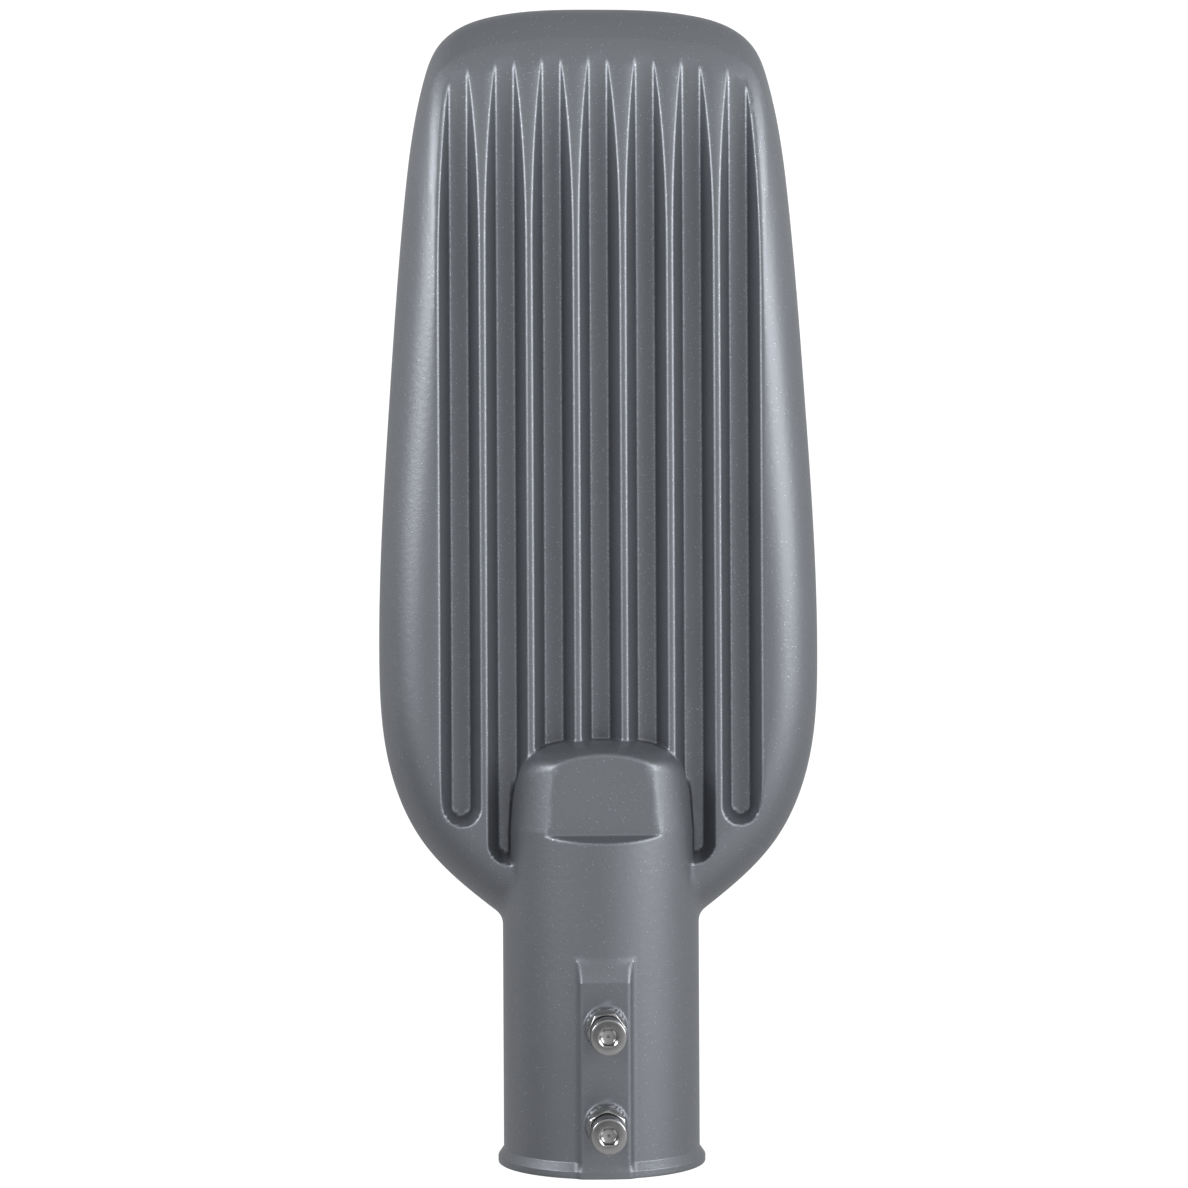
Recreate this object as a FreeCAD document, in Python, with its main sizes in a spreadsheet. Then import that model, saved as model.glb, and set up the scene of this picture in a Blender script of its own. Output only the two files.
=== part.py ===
import FreeCAD, Part

import math
import os
import re

import Sketcher
from FreeCAD import Placement, Rotation, Vector

# LED street light head: a die-cast finned housing with a clamped tube socket at its tail,
# closed underneath by a glazed lamp frame and a gear cover.
# Frame: the origin is the centre of the tube socket's mouth, +Y runs to the head end,
# +Z is up, towards the fins. Millimetres throughout.

os.makedirs("parts", exist_ok=True)
doc = FreeCAD.newDocument("street_light_head")
sheet = doc.addObject("Spreadsheet::Sheet", "Sizes")

SIZES = (
    ("tube_radius", 37.0, "outside of the tube socket"),
    ("bore_radius", 31.5, "bore for a 60 mm pole arm"),
    ("bore_depth", 110.0, "from the mouth to the pipe stop"),
    ("mouth_chamfer", 1.0, "lead-in at the mouth"),
    ("stop_radius", 27.0, "opening inside the pipe stop"),
    ("stop_length", 8.0, "length of the pipe stop"),
    ("end_wall", 4.0, "wall that carries the cable gland"),
    ("rim_radius", 39.1, "flared rim round the mouth"),
    ("rim_land", 2.6, "straight part of the rim"),
    ("rim_taper", 3.0, "sloped part of the rim"),
    ("hump_neck", 126.0, "where the hump starts to narrow"),
    ("hump_narrowing", 1.8, "how much smaller its radius is at the nose"),
    ("hump_shoulder", 150.7, "where the hump's side turns into its nose"),
    ("hump_nose", 159.3, "front of the hump"),
    ("hump_hollow", 26.0, "radius of the space inside the hump"),
    ("hump_wall", 6.0, "wall at the front of the hump"),
    ("facet_height", 30.4, "level of the bare flat on the hump"),
    ("facet_start", 125.0, "tail end of the flat"),
    ("facet_ledge", 2.6, "run of the ledge at the tail end of the flat"),
    ("pad_width", 19.0, "flat strip under the clamp bolts"),
    ("pad_height", 38.8, "top of the strip above the tube axis"),
    ("pad_length", 71.7, "length of the strip's level part"),
    ("pad_slope", 6.9, "run of the strip's sloped end"),
    ("bolt_boss_base", 15.5, "diameter of a bolt boss at its foot"),
    ("bolt_boss_top", 14.4, "diameter of a bolt boss at its top"),
    ("bolt_boss_height", 4.0, "height of a bolt boss"),
    ("bolt_first", 20.1, "first clamp bolt from the mouth"),
    ("bolt_spacing", 35.4, "between the clamp bolts"),
    ("bolt_thread", 8.0, "M8"),
    ("bolt_length", 25.0, "under the head"),
    ("bolt_tip_gap", 0.2, "tip of the bolt short of the bore"),
    ("bolt_head_width", 13.0, "diameter of the socket head"),
    ("bolt_head_height", 8.0, "height of the socket head"),
    ("bolt_socket_width", 6.0, "across the flats of the socket"),
    ("bolt_socket_depth", 4.5, "depth of the socket"),
    ("nut_width", 13.0, "across the flats of the locking nut"),
    ("nut_height", 6.5, "height of the locking nut"),
    ("nut_facing", 12.4, "round face on top of the nut"),
    ("washer_width", 14.2, "outside of the spring washer"),
    ("washer_height", 2.0, "height of the spring washer"),
    ("washer_slit", 0.8, "gap in the spring washer's ring"),
    ("thread_clearance", 0.05, "between a screw and its hole, on the radius"),
    ("half_width", 83.4, "half the width of the head at its widest place"),
    ("shoulder_place", 188.8, "widest place, from the mouth"),
    ("head_end", 436.4, "far end of the head"),
    ("tail_end", 84.0, "near end of the head, under the tube"),
    ("parting_drop", 9.0, "widest level below the tube axis"),
    ("top_height", 16.5, "flat top above the tube axis"),
    ("side_roll", 20.0, "plan run of the rounded side"),
    ("nose_slope", 93.0, "plan run of the long fall to the head end"),
    ("skirt_draft", 2.5, "how far the skirt draws in down to its rim"),
    ("shell_wall", 3.2, "wall of the casting"),
    ("floor_wall", 3.5, "wall under the grooves"),
    ("groove_floor", 7.0, "floor of the grooves above the tube axis"),
    ("groove_pitch", 17.5, "between the grooves"),
    ("groove_width", 6.9, "width of a groove's floor"),
    ("groove_spread", 4.1, "plan run of a groove's sloped wall"),
    ("groove_count", 7.0, "number of grooves"),
    ("groove_outer_end", 134.6, "where the outermost grooves end"),
    ("groove_second_end", 120.4, "where the grooves beside the hump end"),
    ("split_place", 214.0, "between the gear bay and the lamp bay"),
    ("bulkhead_wall", 9.0, "thickness of the wall between the bays"),
    ("cover_thickness", 3.5, "frame and gear cover"),
    ("cover_step", 0.6, "cover inside the rim of the skirt"),
    ("cover_gap", 0.4, "from the split line to either cover"),
    ("seal_width", 1.6, "width of a cover seal"),
    ("seal_depth", 1.2, "depth of a cover seal in its channel"),
    ("seal_edge", 1.2, "from the edge of the cover to its seal channel"),
    ("seal_corner", 4.0, "corner radius of the seal"),
    ("screw_inset", 9.4, "cover screws from the parting line"),
    ("screw_boss_radius", 4.8, "boss for a cover screw"),
    ("cover_screw_thread", 4.0, "M4"),
    ("cover_screw_head", 8.0, "diameter of the countersunk head"),
    ("cover_screw_head_height", 2.3, "height of the countersunk head"),
    ("cover_screw_length", 14.0, "overall length of a cover screw"),
    ("glass_inset", 16.0, "edge of the glass from the parting line"),
    ("window_inset", 22.0, "edge of the window from the parting line"),
    ("glass_thickness", 4.0, "toughened glass"),
    ("glass_seal_height", 0.8, "silicone bed between frame and glass"),
    ("glass_end_gap", 14.0, "from the split line to the glass"),
    ("glass_corner", 12.0, "rear corner radius of the glass"),
    ("glass_front_corner", 20.0, "front corner radius of the glass"),
    ("clip_width", 12.0, "width of a glass clip"),
    ("clip_sheet", 0.8, "thickness of a glass clip"),
    ("clip_foot", 7.5, "length of a clip's foot"),
    ("clip_tongue", 4.0, "length of a clip's tongue on the glass"),
    ("clip_edge_gap", 0.4, "between a clip and the edge of the glass"),
    ("small_thread", 3.0, "M3"),
    ("small_head", 5.6, "head of an M3 screw"),
    ("small_head_height", 1.9, "height of that head"),
    ("clip_screw_reach", 2.4, "reach of a clip screw in the frame"),
    ("board_centre", 311.0, "centre of the LED board, from the mouth"),
    ("board_width", 98.0, "across the LED board"),
    ("board_length", 164.0, "along the LED board"),
    ("board_thickness", 1.6, "LED board"),
    ("board_corner", 3.0, "corner radius of the LED board"),
    ("pad_sheet", 0.5, "heat-conducting sheet over the board"),
    ("chip_width", 3.5, "LED package"),
    ("chip_height", 0.7, "height of an LED package"),
    ("lens_columns", 4.0, "lenses across"),
    ("lens_rows", 6.0, "lenses along"),
    ("lens_margin_across", 17.25, "from the side of the lens plate to the first lenses"),
    ("lens_margin_along", 18.5, "from the end of the lens plate to the first lenses"),
    ("lens_plate", 2.4, "thickness of the lens plate"),
    ("lens_rim", 1.0, "rim that stands the lens plate off the board"),
    ("pad_strip", 12.0, "end of the LED board left clear of the lens plate for the leads"),
    ("lens_edge", 1.0, "LED board past the side of the lens plate"),
    ("lens_radius", 8.5, "radius of a lens"),
    ("lens_height", 5.5, "height of a lens"),
    ("lens_corner", 6.0, "corner radius of the lens plate"),
    ("tray_sheet", 1.0, "thickness of the light tray"),
    ("tray_flange", 8.0, "flange of the light tray"),
    ("tray_flare", 5.0, "how far the tray widens towards the glass"),
    ("tray_gap", 0.3, "between the tray and the glass clips"),
    ("tray_corner", 4.0, "corner radius of the light tray"),
    ("tray_opening_corner", 3.0, "corner radius of the tray's opening over the lenses"),
    ("board_screw_inset", 5.0, "board screws from the end of the lens plate"),
    ("ceiling_screw_reach", 5.0, "reach of a small screw in the casting"),
    ("driver_centre", 184.0, "centre of the driver, from the mouth"),
    ("driver_width", 42.0, "along the head"),
    ("driver_length", 122.0, "across the head"),
    ("driver_height", 28.0, "height of the driver case"),
    ("driver_corner", 2.0, "rounded edges of the driver case"),
    ("ear_length", 8.0, "fixing ear at each end of the driver"),
    ("ear_sheet", 2.0, "thickness of a fixing ear"),
    ("ear_width", 20.0, "width of a fixing ear"),
    ("terminal_centre", 144.0, "centre of the terminal block along"),
    ("terminal_length", 25.5, "across the terminal block"),
    ("terminal_width", 18.0, "along the terminal block"),
    ("terminal_height", 15.0, "height of the terminal block"),
    ("terminal_ways", 3.0, "number of ways"),
    ("terminal_pitch", 5.2, "between the ways"),
    ("terminal_well", 3.4, "screw well of a way"),
    ("terminal_well_depth", 5.0, "depth of a screw well"),
    ("terminal_entry", 3.5, "depth of a lead's entry in the terminal block"),
    ("arrester_centre", 144.0, "centre of the surge arrester along"),
    ("arrester_length", 28.0, "across the surge arrester"),
    ("arrester_width", 24.0, "along the surge arrester"),
    ("arrester_height", 19.0, "height of the surge arrester"),
    ("arrester_tab", 7.0, "fixing tab of the surge arrester"),
    ("arrester_tab_side", 4.0, "tab past its screws on either side"),
    ("gland_thread", 20.0, "M20 cable gland"),
    ("gland_hex", 24.0, "across the flats of the gland"),
    ("gland_hex_height", 6.0, "hexagon of the gland"),
    ("gland_dome_length", 14.0, "dome nut of the gland"),
    ("gland_dome_base", 23.0, "wide end of the dome nut"),
    ("gland_dome_tip", 17.3, "narrow end of the dome nut"),
    ("gland_hole", 10.0, "passage through the gland"),
    ("gland_stub", 5.5, "thread past the wall"),
    ("gland_nut_height", 4.5, "lock nut of the gland"),
    ("gland_washer", 1.5, "seal under the gland's hexagon"),
    ("grommet_inset", 11.0, "lead grommet in the bulkhead, in from the end of the driver"),
    ("grommet_level", -9.0, "lead grommet above the tube axis"),
    ("grommet_hole", 8.0, "hole in the bulkhead"),
    ("grommet_lip", 1.5, "lip of the grommet"),
    ("lead_width", 2.2, "insulated lead"),
    ("lead_bend", 2.4, "bend radius of a lead's middle line"),
    ("lead_spacing", 2.24, "between the two leads in the grommet"),
    ("lead_pad_spacing", 8.0, "between the two leads' pads on the LED board"),
    ("lead_pad_inset", 10.0, "pads from the side of the LED board"),
    ("vent_place", 30.0, "pressure vent in the gear cover, across"),
    ("vent_centre", 186.0, "pressure vent along"),
    ("vent_width", 14.0, "head of the vent"),
    ("vent_thread", 9.0, "stub of the vent"),
    ("vent_sink", 2.0, "depth that the vent's head is sunk"),
    ("vent_collar", 2.0, "collar that holds the vent inside the cover"),
    ("vent_stub", 3.0, "reach of the vent's stub past the cover"),
    ("vent_pore", 1.6, "diameter of a pore in the vent's head"),
    ("vent_pore_depth", 1.2, "depth of a pore"),
    ("earth_place", 43.75, "earth screw across"),
    ("earth_centre", 126.0, "earth screw along"),
    ("earth_lug", 1.6, "thickness of the earth washer"),
    ("earth_lug_width", 8.0, "diameter of the earth washer"),
)
for row, (alias, value, note) in enumerate(SIZES, start=1):
    sheet.set(f"A{row}", alias)
    sheet.set(f"B{row}", str(value))
    sheet.setAlias(f"B{row}", alias)
    sheet.set(f"C{row}", note)
doc.recompute()


def size(alias):
    return float(getattr(sheet, alias))


def tie(target, **formulas):
    """Bind properties to formulas of sheet aliases; x, y and z stand for the placement's base."""
    for name, formula in formulas.items():
        place = f".Placement.Base.{name}" if name in ("x", "y", "z") else name
        target.setExpression(place, re.sub(r"\b([a-z]+_\w+)\b", r"Sizes.\1", formula))
    return target


# Working levels and the axes of turned pieces. A cutting tool reaches 1 mm past the face that
# it opens, or BEYOND where it leaves the part altogether.
CEILING = "groove_floor - floor_wall"
RIM_LEVEL = -size("tube_radius")
COVER_FLOOR = RIM_LEVEL - size("cover_thickness")
ALONG = Rotation(Vector(1, 0, 0), -90)
BEYOND = 20.0


def cylinder(name, radius, height, turn=None, **formulas):
    made = doc.addObject("Part::Cylinder", name)
    if turn:
        made.Placement = Placement(Vector(), turn)
    return tie(made, Radius=radius, Height=height, **formulas)


def cone(name, radius_low, radius_high, height, turn=None, **formulas):
    made = doc.addObject("Part::Cone", name)
    if turn:
        made.Placement = Placement(Vector(), turn)
    return tie(made, Radius1=radius_low, Radius2=radius_high, Height=height, **formulas)


def block(name, length, width, height, **formulas):
    made = doc.addObject("Part::Box", name)
    return tie(made, Length=length, Width=width, Height=height, **formulas)


def hexagon(name, across_flats, height, turn=None, **formulas):
    made = doc.addObject("Part::Prism", name)
    made.Polygon = 6
    if turn:
        made.Placement = Placement(Vector(), turn)
    return tie(made, Circumradius=f"({across_flats}) / 2 / cos(30)", Height=height, **formulas)


def fuse(name, pieces):
    made = doc.addObject("Part::MultiFuse", name)
    made.Shapes = pieces
    return made


def cut(name, base, tool):
    made = doc.addObject("Part::Cut", name)
    made.Base = base
    made.Tool = tool
    return made


def group(name, pieces):
    made = doc.addObject("Part::Compound", name)
    made.Links = pieces
    return made


def shaped(name, shape):
    made = doc.addObject("Part::Feature", name)
    made.Shape = shape
    return made


# The plan outline. Each row is a point of the right half, from the middle of the head end round
# to the tail: its place on the parting line as shares of the half width and of the length from
# the widest place, then how much of the side roll (across) and of the long fall (along, or of
# the side roll at the tail) it draws in by on its way up to the flat top.
HEAD_POINTS = (
    (0.0000, 1.0000, 0.000, 1.000),
    (0.4436, 0.9907, -0.150, 0.990),
    (0.6463, 0.9661, -0.080, 0.968),
    (0.7230, 0.9414, 0.025, 0.977),
    (0.7842, 0.8922, 0.220, 0.975),
    (0.8753, 0.7076, 0.625, 0.850),
    (0.9484, 0.3998, 0.905, 0.510),
    (1.0000, 0.0000, 1.000, 0.000),
)
TAIL_POINTS = (
    (0.9604, 0.3635, 0.930, 0.315),
    (0.8058, 0.6546, 0.785, 0.640),
    (0.5264, 0.8731, 0.620, 0.785),
    (0.3600, 0.9600, 0.400, 0.900),
    (0.0000, 1.0000, 0.000, 1.000),
)


def half_outline(share, inset):
    """Plan points of the right half: share 0 is the parting line, 1 the edge of the flat top."""
    shoulder = size("shoulder_place")
    points = []
    for across, along, draw_across, draw_along in HEAD_POINTS:
        x = across * size("half_width") - share * draw_across * size("side_roll")
        y = shoulder + along * (size("head_end") - shoulder)
        points.append(Vector(x, y - share * draw_along * size("nose_slope"), 0))
    for across, along, draw_across, draw_along in TAIL_POINTS:
        x = across * size("half_width") - share * draw_across * size("side_roll")
        y = shoulder - along * (shoulder - size("tail_end"))
        points.append(Vector(x, y + share * draw_along * size("side_roll"), 0))
    moved = []
    for index, point in enumerate(points):
        before = points[index - 1] if index else Vector(-points[1].x, points[1].y, 0)
        last = index + 1 == len(points)
        after = Vector(-before.x, before.y, 0) if last else points[index + 1]
        way = (after - before).normalize()
        moved.append(point + Vector(way.y, -way.x, 0) * inset)
    return moved


def stations():
    """Curve parameters of the outline's points, shared by every contour."""
    points = half_outline(0, 0)
    values = [0.0]
    for before, after in zip(points, points[1:]):
        values.append(values[-1] + before.distanceToPoint(after))
    return values


def half_curve(share, inset, level):
    """Smooth curve through the outline's points, square to the middle plane at both ends."""
    points = [point + Vector(0, 0, level) for point in half_outline(share, inset)]
    marks = stations()
    first_pace = points[0].distanceToPoint(points[1]) / (marks[1] - marks[0])
    last_pace = points[-1].distanceToPoint(points[-2]) / (marks[-1] - marks[-2])
    curve = Part.BSplineCurve()
    curve.interpolate(
        Points=points,
        Parameters=marks,
        InitialTangent=Vector(first_pace, 0, 0),
        FinalTangent=Vector(-last_pace, 0, 0),
        Scale=False,
    )
    return curve


def contour(share, inset, level):
    right = half_curve(share, inset, level).toShape()
    left = right.mirror(Vector(0, 0, 0), Vector(1, 0, 0))
    return Part.Wire([right, left])


def on_outline(inset, along):
    """Point of the inset outline's right half at a distance from the mouth."""
    curve = half_curve(0, inset, 0)
    low, high = curve.FirstParameter, curve.LastParameter
    while high - low > 0.001:
        middle = (low + high) / 2
        if curve.value(middle).y > along:
            low = middle
        else:
            high = middle
    return curve.value(low)


# Housing, outside: a quarter-ellipse loft from the parting line up to the flat top, and the skirt.
RISE_STEPS = 6


def dome():
    rise = size("top_height") + size("parting_drop")
    wires = []
    for step in range(RISE_STEPS + 1):
        angle = math.radians(90 * step / RISE_STEPS)
        wires.append(contour(1 - math.cos(angle), 0, rise * math.sin(angle) - size("parting_drop")))
    return Part.makeLoft(wires, True)


def skirt():
    wires = [contour(0, 0, -size("parting_drop")), contour(0, size("skirt_draft"), RIM_LEVEL)]
    return Part.makeLoft(wires, True, True)


def slot_wire(middle, end, half, level):
    """Plan of a groove at one level: round at the tail end, open past the head end."""
    far = size("head_end") + BEYOND
    left, right = middle - half, middle + half
    return Part.Wire([
        Part.makeLine(Vector(left, far, level), Vector(left, end, level)),
        Part.Arc(
            Vector(left, end, level), Vector(middle, end - half, level), Vector(right, end, level),
        ).toShape(),
        Part.makeLine(Vector(right, end, level), Vector(right, far, level)),
        Part.makeLine(Vector(right, far, level), Vector(left, far, level)),
    ])


def grooves():
    """Tools that leave a level floor and sloped walls, drawn on upwards past the flat top."""
    count = int(size("groove_count"))
    floor = size("groove_floor")
    depth = size("top_height") - floor
    past = 1.5
    half = size("groove_width") / 2
    spread = half + size("groove_spread") * past
    tools = []
    for index in range(count):
        middle = (index - (count - 1) / 2) * size("groove_pitch")
        outer = index in (0, count - 1)
        end = size("groove_outer_end") if outer else size("groove_second_end")
        low = slot_wire(middle, end, half, floor)
        high = slot_wire(middle, end, spread, floor + depth * past)
        tools.append(Part.makeLoft([low, high], True, True))
    return Part.makeCompound(tools)


def spigot_profile():
    """Half section of the tube socket and of the hump that carries it on into the head."""
    tube, rim = size("tube_radius"), size("rim_radius")
    land = size("rim_land")
    shoulder, nose = size("hump_shoulder"), size("hump_nose")
    run, end = nose - shoulder, tube - size("hump_narrowing")
    corners = [Vector(0, 0, 0), Vector(rim, 0, 0), Vector(rim, land, 0)]
    corners += [Vector(tube, land + size("rim_taper"), 0), Vector(tube, size("hump_neck"), 0)]
    corners += [Vector(end, shoulder, 0)]
    curve = Part.BSplineCurve()
    curve.interpolate(
        Points=[
            Vector(end, shoulder, 0),
            Vector(0.864 * end, shoulder + 0.453 * run, 0),
            Vector(0.568 * end, shoulder + 0.90 * run, 0),
            Vector(0.284 * end, shoulder + 0.99 * run, 0),
            Vector(0, nose, 0),
        ],
        InitialTangent=Vector(-1, 1, 0),
        FinalTangent=Vector(-1, 0, 0),
    )
    edges = Part.makePolygon(corners).Edges
    edges += [curve.toShape(), Part.makeLine(Vector(0, nose, 0), Vector(0, 0, 0))]
    return Part.Face(Part.Wire(edges))


def facet_tool():
    """What is planed off the top of the hump: a level flat with a sloped ledge at its tail."""
    low, start, ledge = size("facet_height"), size("facet_start"), size("facet_ledge")
    high = size("tube_radius") + 3
    across = size("tube_radius")
    nose = size("hump_nose") + 5
    rise = (high - low) / (size("tube_radius") - low)
    back = start - ledge * rise
    profile = Part.makePolygon([
        Vector(-across, start, low), Vector(-across, nose, low), Vector(-across, nose, high),
        Vector(-across, back, high), Vector(-across, start, low),
    ])
    return Part.Face(profile).extrude(Vector(2 * across, 0, 0))


def pad_profile():
    top, length = size("pad_height"), size("pad_length")
    foot = size("bore_radius") + 2
    slope = length + size("pad_slope")
    return Part.Face(Part.makePolygon([
        Vector(0, 0, foot), Vector(0, slope, foot), Vector(0, slope, size("tube_radius") - 0.6),
        Vector(0, length, top), Vector(0, 0, top), Vector(0, 0, foot),
    ]))


def cavity():
    """Inside of the head: the outer form less the wall, up to a level ceiling under the grooves."""
    ceiling = size("groove_floor") - size("floor_wall")
    lift = (ceiling + size("parting_drop")) / (size("top_height") + size("parting_drop"))
    share = 1 - math.sqrt(1 - lift * lift)
    wall = size("shell_wall")
    rim = contour(0, size("skirt_draft") + wall, RIM_LEVEL)
    middle = contour(0, wall, -size("parting_drop"))
    top = contour(share, wall, ceiling)
    return Part.makeLoft([rim, middle], True, True).fuse(Part.makeLoft([middle, top], True, True))


def bay_prism(bay, inset, gap, low, high, corner=0.0):
    """Plate of the head's outline, inset, on one side of the split line, with round split corners."""
    split = size("split_place")
    wide, long = size("half_width") + BEYOND, size("head_end") + BEYOND
    plate = Part.Face(contour(0, inset, low)).extrude(Vector(0, 0, high - low))
    near = split + gap if bay == "lamp" else -BEYOND
    far = long if bay == "lamp" else split - gap
    window = Part.makeBox(2 * wide, far - near, high - low, Vector(-wide, near, low))
    plate = plate.common(window)
    if corner:
        edge_place = near if bay == "lamp" else far
        corners = []
        for edge in plate.Edges:
            upright = abs(edge.tangentAt(edge.FirstParameter).z) > 0.99
            if upright and abs(edge.CenterOfMass.y - edge_place) < 0.01:
                corners.append(edge)
        plate = plate.makeFillet(corner, corners)
    return plate


def pane_prism(inset, low, high):
    """Pane with four straight sides and round corners, inset from the outline, in the lamp bay."""
    rear = size("split_place") + size("glass_end_gap") + inset - size("glass_inset")
    front = size("head_end") - inset - 1
    rear_half = on_outline(inset, rear).x
    waist = (rear + 2 * front) / 3
    front_half = rear_half + (on_outline(inset, waist).x - rear_half) * (front - rear) / (waist - rear)
    corners = [
        Vector(-rear_half, rear, low), Vector(rear_half, rear, low),
        Vector(front_half, front, low), Vector(-front_half, front, low), Vector(-rear_half, rear, low),
    ]
    pane = Part.Face(Part.makePolygon(corners)).extrude(Vector(0, 0, high - low))
    upright = [edge for edge in pane.Edges if abs(edge.tangentAt(edge.FirstParameter).z) > 0.99]
    pull = inset - size("glass_inset")
    near = [edge for edge in upright if edge.CenterOfMass.y < (rear + front) / 2]
    far = [edge for edge in upright if edge.CenterOfMass.y > (rear + front) / 2]
    pane = pane.makeFillet(size("glass_corner") - pull / 2, near)
    far = [edge for edge in pane.Edges if any(
        edge.CenterOfMass.distanceToPoint(other.CenterOfMass) < 0.01 for other in far)]
    return pane.makeFillet(size("glass_front_corner") - pull, far)


# Places of the cover screws along the head, for the right half; each has a mirror on the left.
FRAME_SCREW_PLACES = (426.0, 374.0, 300.0, 228.0)
COVER_SCREW_PLACES = (201.0, 158.0, 112.0)


def both_sides(inset, places):
    points = []
    for along in places:
        right = on_outline(inset, along)
        points += [right, Vector(-right.x, right.y, 0)]
    return points


FRAME_SCREWS = both_sides(size("screw_inset"), FRAME_SCREW_PLACES)
COVER_SCREWS = both_sides(size("screw_inset"), COVER_SCREW_PLACES)
LENS_LENGTH = size("board_length") - size("pad_strip")
LENS_WIDTH = size("board_width") - 2 * size("lens_edge")
LENS_CENTRE = size("board_centre") + size("pad_strip") / 2


def board_points():
    """Screws round the lens plate, each under a rib: corners and the middles of the long sides."""
    across = 2.5 * size("groove_pitch")
    along = LENS_LENGTH / 2 - size("board_screw_inset")
    points = []
    for side in (-1, 1):
        for end in (-1, 0, 1):
            points.append(Vector(side * across, LENS_CENTRE + end * along, 0))
    return points


def ear_points():
    across = (size("driver_length") + size("ear_length")) / 2
    return [Vector(side * across, size("driver_centre"), 0) for side in (-1, 1)]


def bay_place():
    """Farthest groove middle at which the surge arrester clears the side wall."""
    tail = size("arrester_centre") - size("arrester_width") / 2
    wall = on_outline(size("skirt_draft") + size("shell_wall"), tail).x
    pitch = size("groove_pitch")
    return pitch * int((wall - size("arrester_length") / 2) / pitch)


BAY_PLACE = bay_place()


def pair_points(across, along):
    """Two screws under the ribs on either side of a groove."""
    half = size("groove_pitch") / 2
    return [Vector(across - half, along, 0), Vector(across + half, along, 0)]


def terminal_points():
    return pair_points(-BAY_PLACE, size("terminal_centre"))


def arrester_points():
    along = size("arrester_centre") + size("arrester_width") / 2 + size("arrester_tab") / 2
    return pair_points(BAY_PLACE, along)


def earth_points():
    return [Vector(size("earth_place"), size("earth_centre"), 0)]


def pins(points, radius, low, high):
    made = []
    for point in points:
        made.append(Part.makeCylinder(radius, high - low, Vector(point.x, point.y, low)))
    return made


CEILING_LEVEL = size("groove_floor") - size("floor_wall")
CLEARANCE = size("thread_clearance")
END_WALL = "bore_depth + stop_length + end_wall"


def make_housing():
    fluted = cut("fluted_dome", shaped("dome_form", dome()), shaped("groove_form", grooves()))
    spigot = doc.addObject("Part::Revolution", "spigot_form")
    spigot.Source = shaped("spigot_section", spigot_profile())
    spigot.Axis = Vector(0, 1, 0)
    spigot.Angle = 360
    spigot.Solid = True
    strip = doc.addObject("Part::Extrusion", "pad_form")
    strip.Base = shaped("pad_section", pad_profile())
    strip.DirMode = "Custom"
    strip.Dir = Vector(1, 0, 0)
    strip.Symmetric = True
    strip.Solid = True
    tie(strip, LengthFwd="pad_width")
    bosses = []
    for index in range(2):
        bosses.append(cone(
            f"bolt_boss_{index}", "bolt_boss_base / 2", "bolt_boss_top / 2", "bolt_boss_height",
            y=f"bolt_first + {index} * bolt_spacing", z="pad_height",
        ))
    outside = fuse("outside_form", [fluted, shaped("skirt_form", skirt()), spigot, strip] + bosses)

    tools = [
        cylinder("bore_tool", "bore_radius", f"bore_depth + {BEYOND}", ALONG, y=f"-{BEYOND}"),
        cone("mouth_tool", "bore_radius + mouth_chamfer", "bore_radius", "mouth_chamfer", ALONG, y="0"),
        cylinder("stop_tool", "stop_radius", "stop_length + 1", ALONG, y="bore_depth - 1"),
        cylinder(
            "gland_tool", "gland_thread / 2 + thread_clearance", "stop_length + end_wall + 2",
            ALONG, y="bore_depth - 1",
        ),
        cylinder(
            "hump_tool", "hump_hollow", f"hump_nose - hump_wall - ({END_WALL})", ALONG, y=END_WALL,
        ),
        cylinder(
            "grommet_tool", "grommet_hole / 2", "bulkhead_wall + 2", ALONG,
            x="driver_length / 2 - grommet_inset", y="split_place - bulkhead_wall / 2 - 1", z="grommet_level",
        ),
        shaped("facet_form", facet_tool()),
    ]
    for index in range(2):
        tools.append(cylinder(
            f"bolt_hole_{index}", "bolt_thread / 2 + thread_clearance", "tube_radius",
            y=f"bolt_first + {index} * bolt_spacing", z="bore_radius / 2",
        ))
    screw_bosses = pins(FRAME_SCREWS + COVER_SCREWS, size("screw_boss_radius"), RIM_LEVEL, CEILING_LEVEL)
    kept = [
        block(
            "bulkhead_form", "2 * half_width", "bulkhead_wall", "2 * tube_radius",
            x="-half_width", y="split_place - bulkhead_wall / 2", z="-tube_radius",
        ),
        cylinder("tube_form", "tube_radius", END_WALL, ALONG, y="0"),
        shaped("boss_form", Part.makeCompound(screw_bosses)),
    ]
    tools.append(cut("hollow_form", shaped("cavity_form", cavity()), fuse("kept_form", kept)))

    depth = size("cover_screw_length") - size("cover_thickness") + 1
    thread = size("cover_screw_thread") / 2 + CLEARANCE
    small = size("small_thread") / 2 + CLEARANCE
    holes = pins(FRAME_SCREWS + COVER_SCREWS, thread, RIM_LEVEL - 1, RIM_LEVEL + depth)
    fixings = board_points() + ear_points() + terminal_points() + arrester_points() + earth_points()
    reach = size("ceiling_screw_reach") + 0.5
    holes += pins(fixings, small, CEILING_LEVEL - 1, CEILING_LEVEL + reach)
    tools.append(shaped("screw_hole_form", Part.makeCompound(holes)))
    return cut("housing", outside, fuse("tool_form", tools))


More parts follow.
